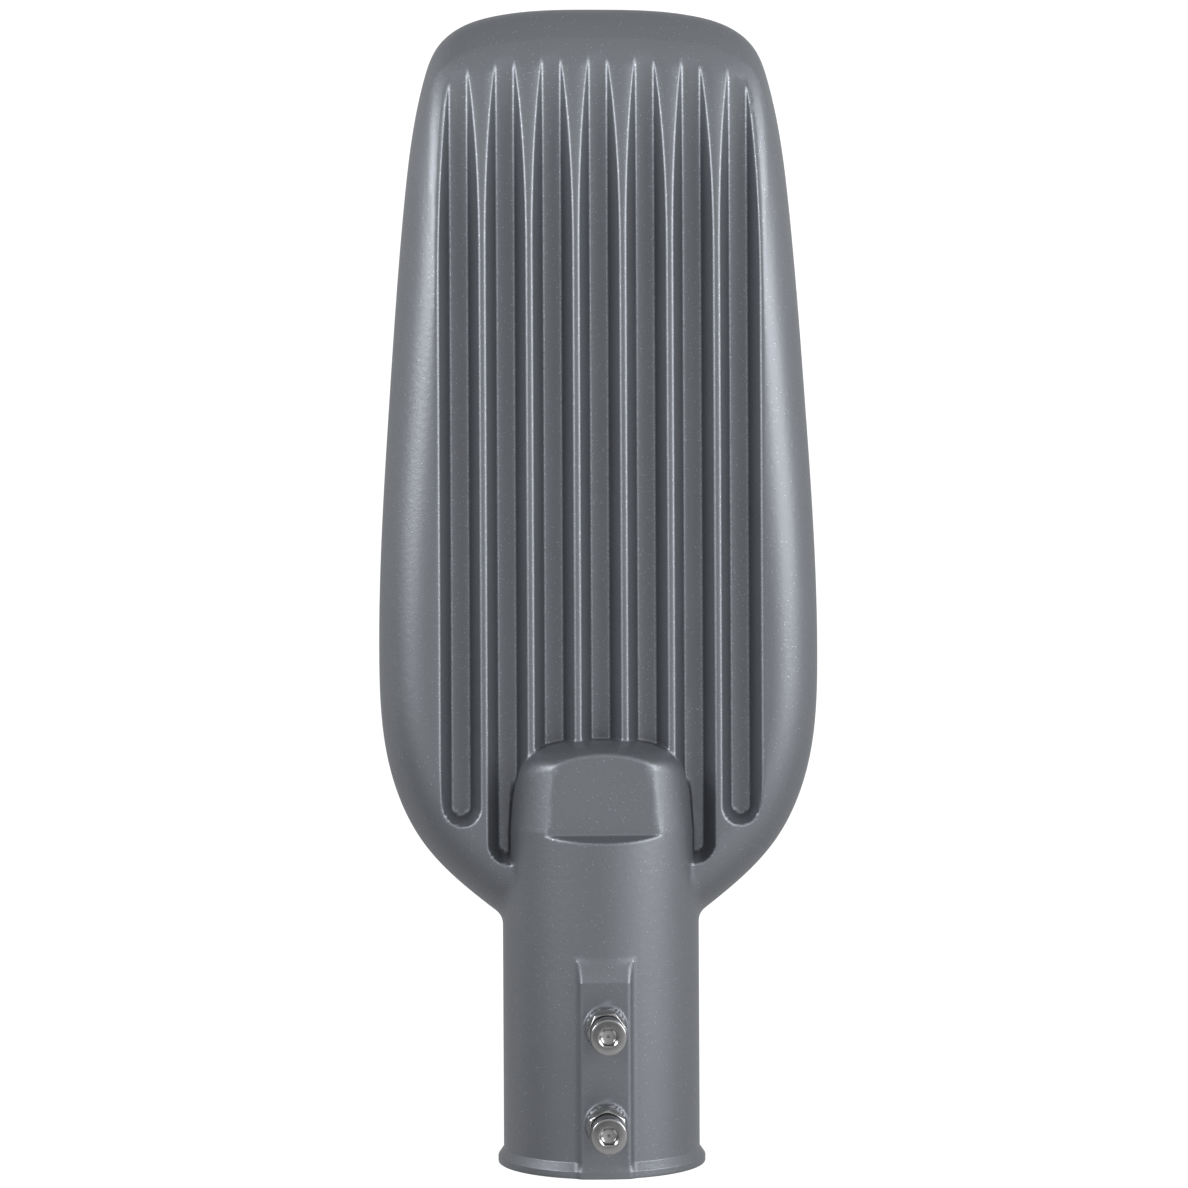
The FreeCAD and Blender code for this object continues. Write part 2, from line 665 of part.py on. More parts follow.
def driven_screws(name, points, level, reach, countersunk=False):
    """Screws driven upwards; a countersunk head starts at the level, a round head hangs below it."""
    made = []
    for point in points:
        seat = Vector(point.x, point.y, level)
        if countersunk:
            thread, head = size("cover_screw_thread"), size("cover_screw_head")
            height = size("cover_screw_head_height")
            top = Part.makeCone(head / 2, thread / 2, height, seat)
            shank = Part.makeCylinder(thread / 2, reach - height, seat + Vector(0, 0, height))
            drive = hexagon_recess(seat, thread)
        else:
            thread, head = size("small_thread"), size("small_head")
            height = size("small_head_height")
            start = seat - Vector(0, 0, height)
            top = Part.makeCone(0.4 * head, head / 2, height, start)
            shank = Part.makeCylinder(thread / 2, reach, seat)
            drive = hexagon_recess(start, thread)
        made.append(top.fuse(shank).removeSplitter().cut(drive))
    return shaped(name, Part.makeCompound(made))


def hexagon_recess(start, thread):
    """Hexagonal drive recess, sunk from a head's outer face."""
    radius, depth = 0.5 * thread, 0.35 * thread
    corners = []
    for turn in range(7):
        angle = math.radians(60 * turn)
        corners.append(start + Vector(radius * math.cos(angle), radius * math.sin(angle), 0))
    return Part.Face(Part.makePolygon(corners)).extrude(Vector(0, 0, depth))


# Clamp hardware on the tube: bolts, locking nuts and spring washers, two of each. A nut stays
# where it was tightened, so each has its own turn about the bolt, in degrees.
NUT_TURNS = (30.0, 6.0)


def make_clamp():
    bolts, nuts, washers = [], [], []
    tip = "bore_radius + bolt_tip_gap"
    seat = "pad_height + bolt_boss_height"
    for index in range(2):
        along = f"bolt_first + {index} * bolt_spacing"
        shank = cylinder(f"bolt_shank_{index}", "bolt_thread / 2", "bolt_length", y=along, z=tip)
        head = cylinder(
            f"bolt_head_{index}", "bolt_head_width / 2", "bolt_head_height",
            y=along, z=f"{tip} + bolt_length",
        )
        whole = fuse(f"bolt_blank_{index}", [shank, head])
        socket = hexagon(
            f"bolt_socket_{index}", "bolt_socket_width", "bolt_socket_depth + 1",
            y=along, z=f"{tip} + bolt_length + bolt_head_height - bolt_socket_depth",
        )
        bolts.append(cut(f"bolt_{index}", whole, socket))

        blank = hexagon(
            f"nut_blank_{index}", "nut_width", "nut_height",
            Rotation(Vector(0, 0, 1), NUT_TURNS[index]), y=along, z=f"{seat} + washer_height",
        )
        facing = cone(
            f"nut_cone_{index}", "nut_facing / 2 + nut_height * tan(60)", "nut_facing / 2", "nut_height",
            y=along, z=f"{seat} + washer_height",
        )
        trimmed = doc.addObject("Part::MultiCommon", f"nut_trimmed_{index}")
        trimmed.Shapes = [blank, facing]
        hole = cylinder(
            f"nut_hole_{index}", "bolt_thread / 2 + thread_clearance", "nut_height + 2",
            y=along, z=f"{seat} + washer_height - 1",
        )
        nuts.append(cut(f"nut_{index}", trimmed, hole))

        ring = cylinder(f"washer_blank_{index}", "washer_width / 2", "washer_height", y=along, z=seat)
        eye = cylinder(
            f"washer_hole_{index}", "bolt_thread / 2 + 2 * thread_clearance", "washer_height + 2",
            y=along, z=f"{seat} - 1",
        )
        slit = block(
            f"washer_slit_{index}", "washer_width", "washer_slit", "washer_height + 2",
            x="0", y=f"{along} - washer_slit / 2", z=f"{seat} - 1",
        )
        washers.append(cut(f"washer_{index}", ring, fuse(f"washer_tool_{index}", [eye, slit])))
    return [group("clamp_bolts", bolts), group("clamp_nuts", nuts), group("spring_washers", washers)]


def make_gland():
    """Cable gland through the wall behind the pipe stop, its dome nut on the gear side."""
    inner = f"{END_WALL} + gland_washer"
    seal = cylinder("gland_seal_blank", "gland_hex / 2", "gland_washer", ALONG, y=END_WALL)
    seal_hole = cylinder(
        "gland_seal_hole", "gland_thread / 2", "gland_washer + 2", ALONG, y=f"{END_WALL} - 1",
    )
    stub = cylinder(
        "gland_stub_form", "gland_thread / 2", "end_wall + gland_stub + gland_washer", ALONG,
        y="bore_depth + stop_length - gland_stub",
    )
    hexed = hexagon("gland_hex_form", "gland_hex", "gland_hex_height", ALONG, y=inner)
    dome_nut = cone(
        "gland_dome_form", "gland_dome_base / 2", "gland_dome_tip / 2", "gland_dome_length", ALONG,
        y=f"{inner} + gland_hex_height",
    )
    passage = cylinder("gland_passage", "gland_hole / 2", "bore_depth", ALONG, y="bore_depth")
    nut = hexagon(
        "gland_nut_blank", "gland_hex", "gland_nut_height", ALONG,
        y="bore_depth + stop_length - gland_nut_height",
    )
    nut_hole = cylinder(
        "gland_nut_hole", "gland_thread / 2 + thread_clearance", "gland_nut_height + 2", ALONG,
        y="bore_depth + stop_length - gland_nut_height - 1",
    )
    return [
        cut("cable_gland", fuse("gland_blank", [stub, hexed, dome_nut]), passage),
        cut("gland_seal", seal, seal_hole),
        cut("gland_lock_nut", nut, nut_hole),
    ]


def seal_ring(bay):
    """Channel or seal of a cover: a band that follows the cover's edge."""
    inset = size("skirt_draft") + size("cover_step") + size("seal_edge")
    gap = size("cover_gap") + size("seal_edge")
    width = size("seal_width")
    low = RIM_LEVEL - size("seal_depth")
    corner = size("seal_corner")
    outer = bay_prism(bay, inset, gap, low, RIM_LEVEL, corner)
    inner = bay_prism(bay, inset + width, gap + width, low - 1, RIM_LEVEL + 1, corner - width)
    return outer.cut(inner)


def countersinks(points):
    reach = size("cover_thickness") + 2
    head, height = size("cover_screw_head") / 2, size("cover_screw_head_height")
    thread = size("cover_screw_thread") / 2
    tools = []
    for hole in pins(points, thread + CLEARANCE, COVER_FLOOR - 1, COVER_FLOOR + reach):
        sink = Vector(hole.CenterOfMass.x, hole.CenterOfMass.y, COVER_FLOOR)
        tools.append(hole.fuse(Part.makeCone(head + CLEARANCE, thread + CLEARANCE, height, sink)))
    return tools


def make_covers():
    inset = size("skirt_draft") + size("cover_step")
    gap = size("cover_gap")
    corner = size("seal_corner") + size("seal_edge")
    pieces = []

    seal = seal_ring("lamp")
    frame = bay_prism("lamp", inset, gap, COVER_FLOOR, RIM_LEVEL, corner)
    window = pane_prism(size("window_inset"), COVER_FLOOR - 1, RIM_LEVEL + 1)
    clip_holes = []
    for place, way in clip_places():
        middle = place - way * (size("clip_foot") / 2 + size("clip_sheet"))
        clip_holes += pins([middle], size("small_thread") / 2 + CLEARANCE,
                           RIM_LEVEL - size("clip_screw_reach") - 0.3, RIM_LEVEL + 1)
    frame_tools = [seal, window] + countersinks(FRAME_SCREWS) + clip_holes
    pieces.append(cut(
        "lamp_frame", shaped("lamp_frame_blank", frame),
        shaped("lamp_frame_tools", Part.makeCompound(frame_tools)),
    ))
    pieces.append(shaped("lamp_frame_seal", seal))

    seal = seal_ring("gear")
    cover = bay_prism("gear", inset, gap, COVER_FLOOR, RIM_LEVEL, corner)
    vent = Vector(size("vent_place"), size("vent_centre"), 0)
    tools = [seal] + countersinks(COVER_SCREWS)
    vent_hole = pins([vent], size("vent_thread") / 2 + CLEARANCE, COVER_FLOOR - 1, RIM_LEVEL + 1)[0]
    sunk = COVER_FLOOR + size("vent_sink")
    vent_sink = pins([vent], size("vent_width") / 2 + CLEARANCE, COVER_FLOOR - 1, sunk)
    tools.append(vent_hole.fuse(vent_sink))
    pieces.append(cut(
        "gear_cover", shaped("gear_cover_blank", cover),
        shaped("gear_cover_tools", Part.makeCompound(tools)),
    ))
    pieces.append(shaped("gear_cover_seal", seal))

    head = pins([vent], size("vent_width") / 2, COVER_FLOOR, sunk)[0]
    stub = pins([vent], size("vent_thread") / 2, sunk, RIM_LEVEL + size("vent_stub"))[0]
    collar = pins([vent], size("vent_width") / 2, RIM_LEVEL, RIM_LEVEL + size("vent_collar"))[0]
    pores = []
    for turn in range(4):
        angle = math.radians(90 * turn + 45)
        offset = Vector(math.cos(angle), math.sin(angle), 0) * size("vent_width") / 4
        pores += pins(
            [vent + offset], size("vent_pore") / 2, COVER_FLOOR - 1, COVER_FLOOR + size("vent_pore_depth"),
        )
    pieces.append(shaped("pressure_vent", head.fuse(stub).fuse(collar).removeSplitter().cut(
        Part.makeCompound(pores))))

    reach = size("cover_screw_length")
    pieces.append(driven_screws("lamp_frame_screws", FRAME_SCREWS, COVER_FLOOR, reach, True))
    pieces.append(driven_screws("gear_cover_screws", COVER_SCREWS, COVER_FLOOR, reach, True))
    return pieces


# Places of the glass clips along the right side of the pane; each has a mirror on the left.
CLIP_PLACES = (337.0, 262.0)


def clip_places():
    """Where the glass is held: a point on its edge, and the plan direction in over the glass."""
    inset = size("glass_inset") - size("clip_edge_gap")
    found = []
    edges = pane_prism(inset, 0, 1).Faces
    sides = [face for face in edges if abs(face.normalAt(0, 0).x) > 0.9 and face.CenterOfMass.x > 0]
    side = max(sides, key=lambda face: face.Area)
    normal = side.normalAt(0, 0)
    anchor = side.CenterOfMass
    for along in CLIP_PLACES:
        x = anchor.x - (along - anchor.y) * normal.y / normal.x
        way = Vector(-abs(normal.x), -normal.y * math.copysign(1, normal.x), 0)
        found.append((Vector(x, along, 0), way))
        found.append((Vector(-x, along, 0), Vector(-way.x, way.y, 0)))
    rear = size("split_place") + size("glass_end_gap") - size("clip_edge_gap")
    for across in (-1, 1):
        found.append((Vector(across * size("half_width") / 3, rear, 0), Vector(0, 1, 0)))
    found.append((Vector(0, size("head_end") - inset - 1, 0), Vector(0, -1, 0)))
    return found


def make_glazing():
    seat = RIM_LEVEL + size("glass_seal_height")
    top = seat + size("glass_thickness")
    pane = pane_prism(size("glass_inset"), seat, top)
    bed = pane_prism(size("glass_inset"), RIM_LEVEL, seat)
    opening = pane_prism(size("window_inset") - 1, RIM_LEVEL - 1, seat + 1)
    clips, screws_at = [], []
    sheet_thick, foot, tongue = size("clip_sheet"), size("clip_foot"), size("clip_tongue")
    reach = size("clip_edge_gap")
    for place, way in clip_places():
        out = way * -1
        profile = [
            (0, RIM_LEVEL), (foot + sheet_thick, RIM_LEVEL),
            (foot + sheet_thick, RIM_LEVEL + sheet_thick),
            (sheet_thick, RIM_LEVEL + sheet_thick), (sheet_thick, top + sheet_thick),
            (-reach - tongue, top + sheet_thick), (-reach - tongue, top), (0, top), (0, RIM_LEVEL),
        ]
        side = Vector(-way.y, way.x, 0)
        start = place - side * (size("clip_width") / 2)
        points = [start + out * run + Vector(0, 0, level) for run, level in profile]
        strip = Part.Face(Part.makePolygon(points)).extrude(side * size("clip_width"))
        middle = place + out * (foot / 2 + sheet_thick)
        hole = pins([middle], size("small_thread") / 2 + CLEARANCE, RIM_LEVEL - 1, RIM_LEVEL + 2)[0]
        clips.append(strip.cut(hole))
        screws_at.append(middle)
    held = []
    for point in screws_at:
        seat_level = Vector(point.x, point.y, RIM_LEVEL + sheet_thick)
        wide = size("small_head") / 2
        head = Part.makeCone(wide, 0.8 * wide, size("small_head_height"), seat_level)
        down = size("clip_screw_reach") + sheet_thick
        shank = Part.makeCylinder(size("small_thread") / 2, down, seat_level - Vector(0, 0, down))
        held.append(head.fuse(shank).removeSplitter())
    return [
        shaped("glass", pane),
        shaped("glass_seal", bed.cut(opening)),
        shaped("glass_clips", Part.makeCompound(clips)),
        shaped("glass_clip_screws", Part.makeCompound(held)),
    ]


def lens_points():
    columns, rows = int(size("lens_columns")), int(size("lens_rows"))
    half_across = LENS_WIDTH / 2 - size("lens_margin_across")
    half_along = LENS_LENGTH / 2 - size("lens_margin_along")
    points = []
    for column in range(columns):
        for line in range(rows):
            across = half_across * (2 * column / (columns - 1) - 1)
            along = half_along * (2 * line / (rows - 1) - 1)
            points.append(Vector(across, LENS_CENTRE + along, 0))
    return points


def centred_box(width, length, low, high, middle_y, middle_x=0.0):
    return Part.makeBox(width, length, high - low, Vector(middle_x - width / 2, middle_y - length / 2, low))


def round_corners(box, radius):
    upright = [edge for edge in box.Edges if abs(edge.tangentAt(edge.FirstParameter).z) > 0.99]
    return box.makeFillet(radius, upright)


def make_light_engine():
    board_top = CEILING_LEVEL - size("pad_sheet")
    board_low = board_top - size("board_thickness")
    plate_top = board_low - size("lens_rim")
    plate_low = plate_top - size("lens_plate")
    flange_low = plate_low - size("tray_sheet")
    width, length = size("board_width"), size("board_length")
    middle = size("board_centre")
    holes = Part.makeCompound(pins(
        board_points(), size("small_thread") / 2 + CLEARANCE, flange_low - 1, CEILING_LEVEL + 1,
    ))
    sheet_pad = centred_box(width, length, board_top, CEILING_LEVEL, middle)
    board = round_corners(centred_box(width, length, board_low, board_top, middle), size("board_corner"))

    half_chip = size("chip_width") / 2
    chips = []
    for point in lens_points():
        corner = Vector(point.x - half_chip, point.y - half_chip, board_low - size("chip_height"))
        chips.append(Part.makeBox(2 * half_chip, 2 * half_chip, size("chip_height"), corner))

    plate = centred_box(LENS_WIDTH, LENS_LENGTH, plate_low, board_low, LENS_CENTRE)
    plate = round_corners(plate, size("lens_corner"))
    rim = 2 * size("board_screw_inset") + 0.6
    recess = centred_box(
        LENS_WIDTH - 2 * rim, LENS_LENGTH - 2 * rim, plate_top, board_low + 1, LENS_CENTRE,
    )
    radius, height = size("lens_radius"), size("lens_height")
    ball = (radius * radius + height * height) / (2 * height)
    latitude = math.degrees(math.asin((ball - height) / ball))
    domes = []
    for point in lens_points():
        centre = Vector(point.x, point.y, plate_low - height + ball)
        domes.append(Part.makeSphere(ball, centre, Vector(0, 0, 1), -90, -latitude, 360))
    plate = plate.cut(recess).fuse(domes).cut(holes)

    glass_top = RIM_LEVEL + size("glass_seal_height") + size("glass_thickness")
    tray_low = glass_top + size("tray_gap") + size("clip_sheet")
    tray = light_tray(plate_low, flange_low, tray_low).cut(holes)
    reach = CEILING_LEVEL + size("ceiling_screw_reach") - flange_low
    return [
        shaped("thermal_pad", sheet_pad.cut(holes)),
        shaped("led_board", board.cut(holes)),
        shaped("led_chips", Part.makeCompound(chips)),
        shaped("lens_plate", plate),
        shaped("light_tray", tray),
        driven_screws("board_screws", board_points(), flange_low, reach),
    ]


def ring_wire(width, length, level, corner):
    box = round_corners(centred_box(width, length, level, level + 1, LENS_CENTRE), corner)
    low_face = min(box.Faces, key=lambda face: face.CenterOfMass.z)
    return low_face.OuterWire


def light_tray(flange_top, flange_low, tray_low):
    """White reflector: a flange under the lens plate's edge, and walls that flare to the glass."""
    width, length = LENS_WIDTH, LENS_LENGTH
    flare, sheet_thick = 2 * size("tray_flare"), size("tray_sheet")
    corner = size("tray_corner")
    outer = Part.makeLoft([
        ring_wire(width, length, flange_top, corner),
        ring_wire(width + flare, length + flare, tray_low, corner + flare / 2),
    ], True, True)
    inner = Part.makeLoft([
        ring_wire(width - 2 * sheet_thick, length - 2 * sheet_thick, flange_low, corner - sheet_thick),
        ring_wire(width + flare - 2 * sheet_thick, length + flare - 2 * sheet_thick, tray_low,
                  corner + flare / 2 - sheet_thick),
    ], True, True)
    flange = 2 * size("tray_flange")
    opening = centred_box(width - flange, length - flange, flange_low - 1, flange_top + 1, LENS_CENTRE)
    return outer.cut(inner).cut(round_corners(opening, size("tray_opening_corner")))


def rectangle_sketch(body, name):
    """Centred rectangle on the body's own XY plane; its width and length are named constraints."""
    sketch = body.newObject("Sketcher::SketchObject", name)
    plane = [item for item in body.Origin.OriginFeatures if item.Role == "XY_Plane"][0]
    sketch.AttachmentSupport = (plane, [""])
    sketch.MapMode = "FlatFace"
    corners = [Vector(-5, -3, 0), Vector(5, -3, 0), Vector(5, 3, 0), Vector(-5, 3, 0)]
    for index in range(4):
        sketch.addGeometry(Part.LineSegment(corners[index], corners[(index + 1) % 4]), False)
    for index in range(4):
        sketch.addConstraint(Sketcher.Constraint("Coincident", index, 2, (index + 1) % 4, 1))
    for index in (0, 2):
        sketch.addConstraint(Sketcher.Constraint("Horizontal", index))
        sketch.addConstraint(Sketcher.Constraint("Vertical", index + 1))
    sketch.addConstraint(Sketcher.Constraint("Symmetric", 0, 1, 2, 1, -1, 1))
    width = sketch.addConstraint(Sketcher.Constraint("DistanceX", 0, 1, 0, 2, 10))
    sketch.renameConstraint(width, "width")
    length = sketch.addConstraint(Sketcher.Constraint("DistanceY", 1, 1, 1, 2, 6))
    sketch.renameConstraint(length, "length")
    return sketch


def padded_body(name, width, length, height):
    """Body with one pad that stands on its own XY plane."""
    body = doc.addObject("PartDesign::Body", name)
    sketch = rectangle_sketch(body, f"{name}_plan")
    tie(sketch, **{"Constraints.width": width, "Constraints.length": length})
    pad = body.newObject("PartDesign::Pad", f"{name}_pad")
    pad.Profile = sketch
    tie(pad, Length=height)
    doc.recompute()
    return body


def rounded_body(body, radius):
    """Round every edge that doesn't lie on the body's top face."""
    pad = body.Tip
    top = pad.Shape.BoundBox.ZMax
    names = []
    for index, edge in enumerate(pad.Shape.Edges, start=1):
        if edge.BoundBox.ZMin < top - 0.01:
            names.append(f"Edge{index}")
    fillet = body.newObject("PartDesign::Fillet", f"{body.Name}_rounding")
    fillet.Base = (pad, names)
    tie(fillet, Radius=radius)
    doc.recompute()


def make_gear():
    """Driver, terminal block, surge arrester, earth screw and the leads between them."""
    pieces = []
    case = padded_body("driver_case", "driver_length", "driver_width", "driver_height")
    rounded_body(case, "driver_corner")
    tie(case, y="driver_centre", z=f"{CEILING} - driver_height")
    ears = []
    for side in (-1, 1):
        ears.append(block(
            f"driver_ear_{side + 1}", "ear_length + 2", "ear_width", "ear_sheet",
            x=f"{side} * (driver_length / 2 + ear_length / 2 - 1) - ear_length / 2 - 1",
            y="driver_centre - ear_width / 2", z=f"{CEILING} - ear_sheet",
        ))
    ear_holes = shaped("driver_ear_holes", Part.makeCompound(pins(
        ear_points(), size("small_thread") / 2 + CLEARANCE, CEILING_LEVEL - 5, CEILING_LEVEL + 1,
    )))
    pieces.append(cut("driver", fuse("driver_blank", [case] + ears), ear_holes))
    reach = size("ceiling_screw_reach") + size("ear_sheet")
    pieces.append(driven_screws("driver_screws", ear_points(), CEILING_LEVEL - size("ear_sheet"), reach))

    block_body = padded_body("terminal_body", "terminal_length", "terminal_width", "terminal_height")
    tie(block_body, x=f"-{BAY_PLACE}", y="terminal_centre", z=f"{CEILING} - terminal_height")
    wells = []
    half_ways = (size("terminal_ways") - 1) / 2
    low = CEILING_LEVEL - size("terminal_height")
    for way in range(int(size("terminal_ways"))):
        across = -BAY_PLACE + (way - half_ways) * size("terminal_pitch")
        point = Vector(across, size("terminal_centre"), 0)
        wells += pins([point], size("terminal_well") / 2, low - 1, low + size("terminal_well_depth"))
        for side in (-1, 1):
            mouth = point + Vector(0, side * size("terminal_width") / 2, low + size("terminal_height") / 2)
            wells.append(Part.makeCylinder(
                size("lead_width") / 2 + 6 * CLEARANCE, size("terminal_entry") + 1,
                mouth + Vector(0, side, 0), Vector(0, -side, 0),
            ))
    wells += pins(terminal_points(), size("small_thread") / 2 + CLEARANCE, low - 1, CEILING_LEVEL + 1)
    pieces.append(cut("terminal_block", block_body, shaped("terminal_wells", Part.makeCompound(wells))))
    reach = size("ceiling_screw_reach") + size("terminal_height")
    pieces.append(driven_screws("terminal_block_screws", terminal_points(), low, reach))

    potted = padded_body("arrester_body", "arrester_length", "arrester_width", "arrester_height")
    rounded_body(potted, "driver_corner")
    tie(potted, x=f"{BAY_PLACE}", y="arrester_centre", z=f"{CEILING} - arrester_height")
    tab = block(
        "arrester_tab_form", "groove_pitch + 2 * arrester_tab_side", "arrester_tab + 1", "ear_sheet",
        x=f"{BAY_PLACE} - groove_pitch / 2 - arrester_tab_side",
        y="arrester_centre + arrester_width / 2 - 1",
        z=f"{CEILING} - ear_sheet",
    )
    tab_holes = shaped("arrester_holes", Part.makeCompound(pins(
        arrester_points(), size("small_thread") / 2 + CLEARANCE, CEILING_LEVEL - 5, CEILING_LEVEL + 1,
    )))
    pieces.append(cut("surge_arrester", fuse("arrester_blank", [potted, tab]), tab_holes))
    seat = CEILING_LEVEL - size("ear_sheet")
    reach = size("ceiling_screw_reach") + size("ear_sheet")
    pieces.append(driven_screws("surge_arrester_screws", arrester_points(), seat, reach))

    earth = size("ceiling_screw_reach") + size("earth_lug")
    lug_low = CEILING_LEVEL - size("earth_lug")
    lug = pins(earth_points(), size("earth_lug_width") / 2, lug_low, CEILING_LEVEL)[0]
    thread = size("small_thread") / 2 + CLEARANCE
    lug = lug.cut(pins(earth_points(), thread, lug_low - 1, CEILING_LEVEL + 1)[0])
    pieces.append(shaped("earth_washer", lug))
    pieces.append(driven_screws("earth_screw", earth_points(), lug_low, earth))
    return pieces


def lead(points, radius, bend):
    """Insulated lead: straight runs joined by tangent arcs."""
    edges = []
    start = points[0]
    for before, corner, after in zip(points, points[1:], points[2:]):
        back = (before - corner).normalize()
        on = (after - corner).normalize()
        half_angle = back.getAngle(on) / 2
        trim = bend / math.tan(half_angle)
        first, last = corner + back * trim, corner + on * trim
        bisector = (back + on).normalize()
        middle = corner + bisector * (bend / math.sin(half_angle) - bend)
        edges.append(Part.makeLine(start, first))
        edges.append(Part.Arc(first, middle, last).toShape())
        start = last
    edges.append(Part.makeLine(start, points[-1]))
    way = (points[1] - points[0]).normalize()
    section = Part.Face(Part.Wire([Part.makeCircle(radius, points[0], way)]))
    return Part.Wire(edges).makePipe(section)


def make_leads():
    radius, bend = size("lead_width") / 2, size("lead_bend")
    level = size("grommet_level")
    board_low = CEILING_LEVEL - size("pad_sheet") - size("board_thickness")
    board_end = size("board_centre") - size("board_length") / 2
    place = size("driver_length") / 2 - size("grommet_inset")
    driver_front = size("driver_centre") + size("driver_width") / 2
    driver_back = size("driver_centre") - size("driver_width") / 2
    front = size("split_place") + size("bulkhead_wall") / 2
    pair = []
    for step in (-1, 1):
        x = place + step * size("lead_spacing") / 2
        pad_x = size("board_width") / 2 - size("lead_pad_inset") + step * size("lead_pad_spacing") / 2
        turn = front + 2.5 * bend + step * 1.5 * radius
        pair.append(lead([
            Vector(x, driver_front, level),
            Vector(x, turn, level),
            Vector(pad_x, turn + bend, level),
            Vector(pad_x, board_end + 2 * bend, board_low - 2 * bend),
            Vector(pad_x, board_end + 2 * bend, board_low),
        ], radius, bend))
    mains = []
    low = CEILING_LEVEL - size("terminal_height") / 2
    wall = size("terminal_centre") + size("terminal_width") / 2
    half_ways = (size("terminal_ways") - 1) / 2
    run = (driver_back - wall) / 3
    for way in range(int(size("terminal_ways"))):
        across = -BAY_PLACE + (way - half_ways) * size("terminal_pitch")
        mains.append(lead([
            Vector(across, wall - size("terminal_entry"), low),
            Vector(across, wall + run, low),
            Vector(across, driver_back - run, low - run),
            Vector(across, driver_back, low - run),
        ], radius, bend))
    bush = Part.makeCylinder(size("grommet_hole") / 2, size("bulkhead_wall"),
                             Vector(place, front - size("bulkhead_wall"), level), Vector(0, 1, 0))
    lip = size("grommet_lip")
    for at in (front - size("bulkhead_wall") - lip, front):
        bush = bush.fuse(Part.makeCylinder(
            size("grommet_hole") / 2 + lip, lip, Vector(place, at, level), Vector(0, 1, 0)))
    through = [Part.makeCylinder(
        radius, size("bulkhead_wall") + 4 * lip,
        Vector(place + step * size("lead_spacing") / 2, front - size("bulkhead_wall") - 2 * lip, level),
        Vector(0, 1, 0),
    ) for step in (-1, 1)]
    return [
        shaped("led_leads", Part.makeCompound(pair)),
        shaped("mains_leads", Part.makeCompound(mains)),
        shaped("lead_grommet", bush.removeSplitter().cut(through)),
    ]


SUB_PARTS = [make_housing()]
SUB_PARTS += make_clamp()
SUB_PARTS += make_gland()
SUB_PARTS += make_covers()
SUB_PARTS += make_glazing()
SUB_PARTS += make_light_engine()
SUB_PARTS += make_gear()
SUB_PARTS += make_leads()


def check_and_write():
    doc.recompute()
    failed = [item.Label for item in doc.Objects if "Invalid" in item.State or "Error" in item.State]
    failed += [part.Label for part in SUB_PARTS if part.Shape.isNull() or not part.Shape.isValid()]
    if failed:
        raise RuntimeError("failed: " + ", ".join(failed))
    for part in SUB_PARTS:
        shape = part.Shape
        shape.exportStep(f"parts/{part.Label}.step")
        print(part.Label, len(shape.Solids), "solids", round(shape.Volume), "cubic mm")


check_and_write()
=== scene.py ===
import math
from contextlib import contextmanager

import bmesh
import bpy
import numpy as np
from bpy.props import FloatProperty, FloatVectorProperty, PointerProperty
from bpy.types import Operator, Panel, PropertyGroup
from mathutils import Matrix, Vector


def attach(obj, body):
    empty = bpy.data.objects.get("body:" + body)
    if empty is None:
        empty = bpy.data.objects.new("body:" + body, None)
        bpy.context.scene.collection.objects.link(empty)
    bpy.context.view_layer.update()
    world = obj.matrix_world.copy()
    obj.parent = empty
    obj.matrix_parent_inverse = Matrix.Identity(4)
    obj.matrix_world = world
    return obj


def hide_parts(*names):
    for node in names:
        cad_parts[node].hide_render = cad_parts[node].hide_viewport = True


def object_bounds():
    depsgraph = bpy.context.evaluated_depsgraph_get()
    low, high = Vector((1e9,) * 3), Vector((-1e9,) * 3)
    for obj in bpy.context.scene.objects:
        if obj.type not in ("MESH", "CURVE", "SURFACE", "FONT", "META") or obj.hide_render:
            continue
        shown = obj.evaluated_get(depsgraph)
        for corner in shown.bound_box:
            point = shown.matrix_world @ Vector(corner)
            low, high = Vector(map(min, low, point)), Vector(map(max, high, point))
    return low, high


bl_info = {
    "name": "Street light head",
    "version": (1, 0, 0),
    "blender": (4, 5, 0),
    "location": "3D View > Sidebar > Street light",
    "description": "Casting, glazing, light engine, fasteners, finishes and studio of an LED street light",
    "category": "Object",
}

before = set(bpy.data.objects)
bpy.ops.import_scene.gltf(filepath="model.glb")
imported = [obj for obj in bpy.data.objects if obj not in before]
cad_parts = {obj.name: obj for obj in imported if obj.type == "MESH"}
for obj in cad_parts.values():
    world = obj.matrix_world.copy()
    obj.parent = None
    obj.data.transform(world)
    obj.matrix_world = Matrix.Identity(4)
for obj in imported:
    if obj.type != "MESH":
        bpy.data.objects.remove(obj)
cad_bounds = [list(corner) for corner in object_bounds()]
MM = 0.001


# Sizes and colours

class CastingSizes(PropertyGroup):
    edge_rounding: FloatProperty(
        name="Edge rounding", description="Rounding of the cast edges, in mm",
        default=0.9, min=0.1, max=2.0)
    tube_fillet: FloatProperty(
        name="Tube fillet", description="Fillet between tube and head, in mm",
        default=3.4, min=0.5, max=10.0)
    hump_fillet: FloatProperty(
        name="Hump fillet", description="Fillet between hump and grooves, in mm",
        default=1.3, min=0.3, max=5.0)
    share_step: FloatProperty(
        name="Plan step", description="Plan grid of the outline map, in mm",
        default=0.6, min=0.3, max=2.0)


class FinishColours(PropertyGroup):
    coat: FloatVectorProperty(
        name="Powder coat", description="Colour of the coated castings", subtype="COLOR",
        default=(0.176, 0.186, 0.204), min=0.0, max=1.0)
    steel: FloatVectorProperty(
        name="Stainless steel", description="Colour of screws and clips", subtype="COLOR",
        default=(0.32, 0.32, 0.325), min=0.0, max=1.0)


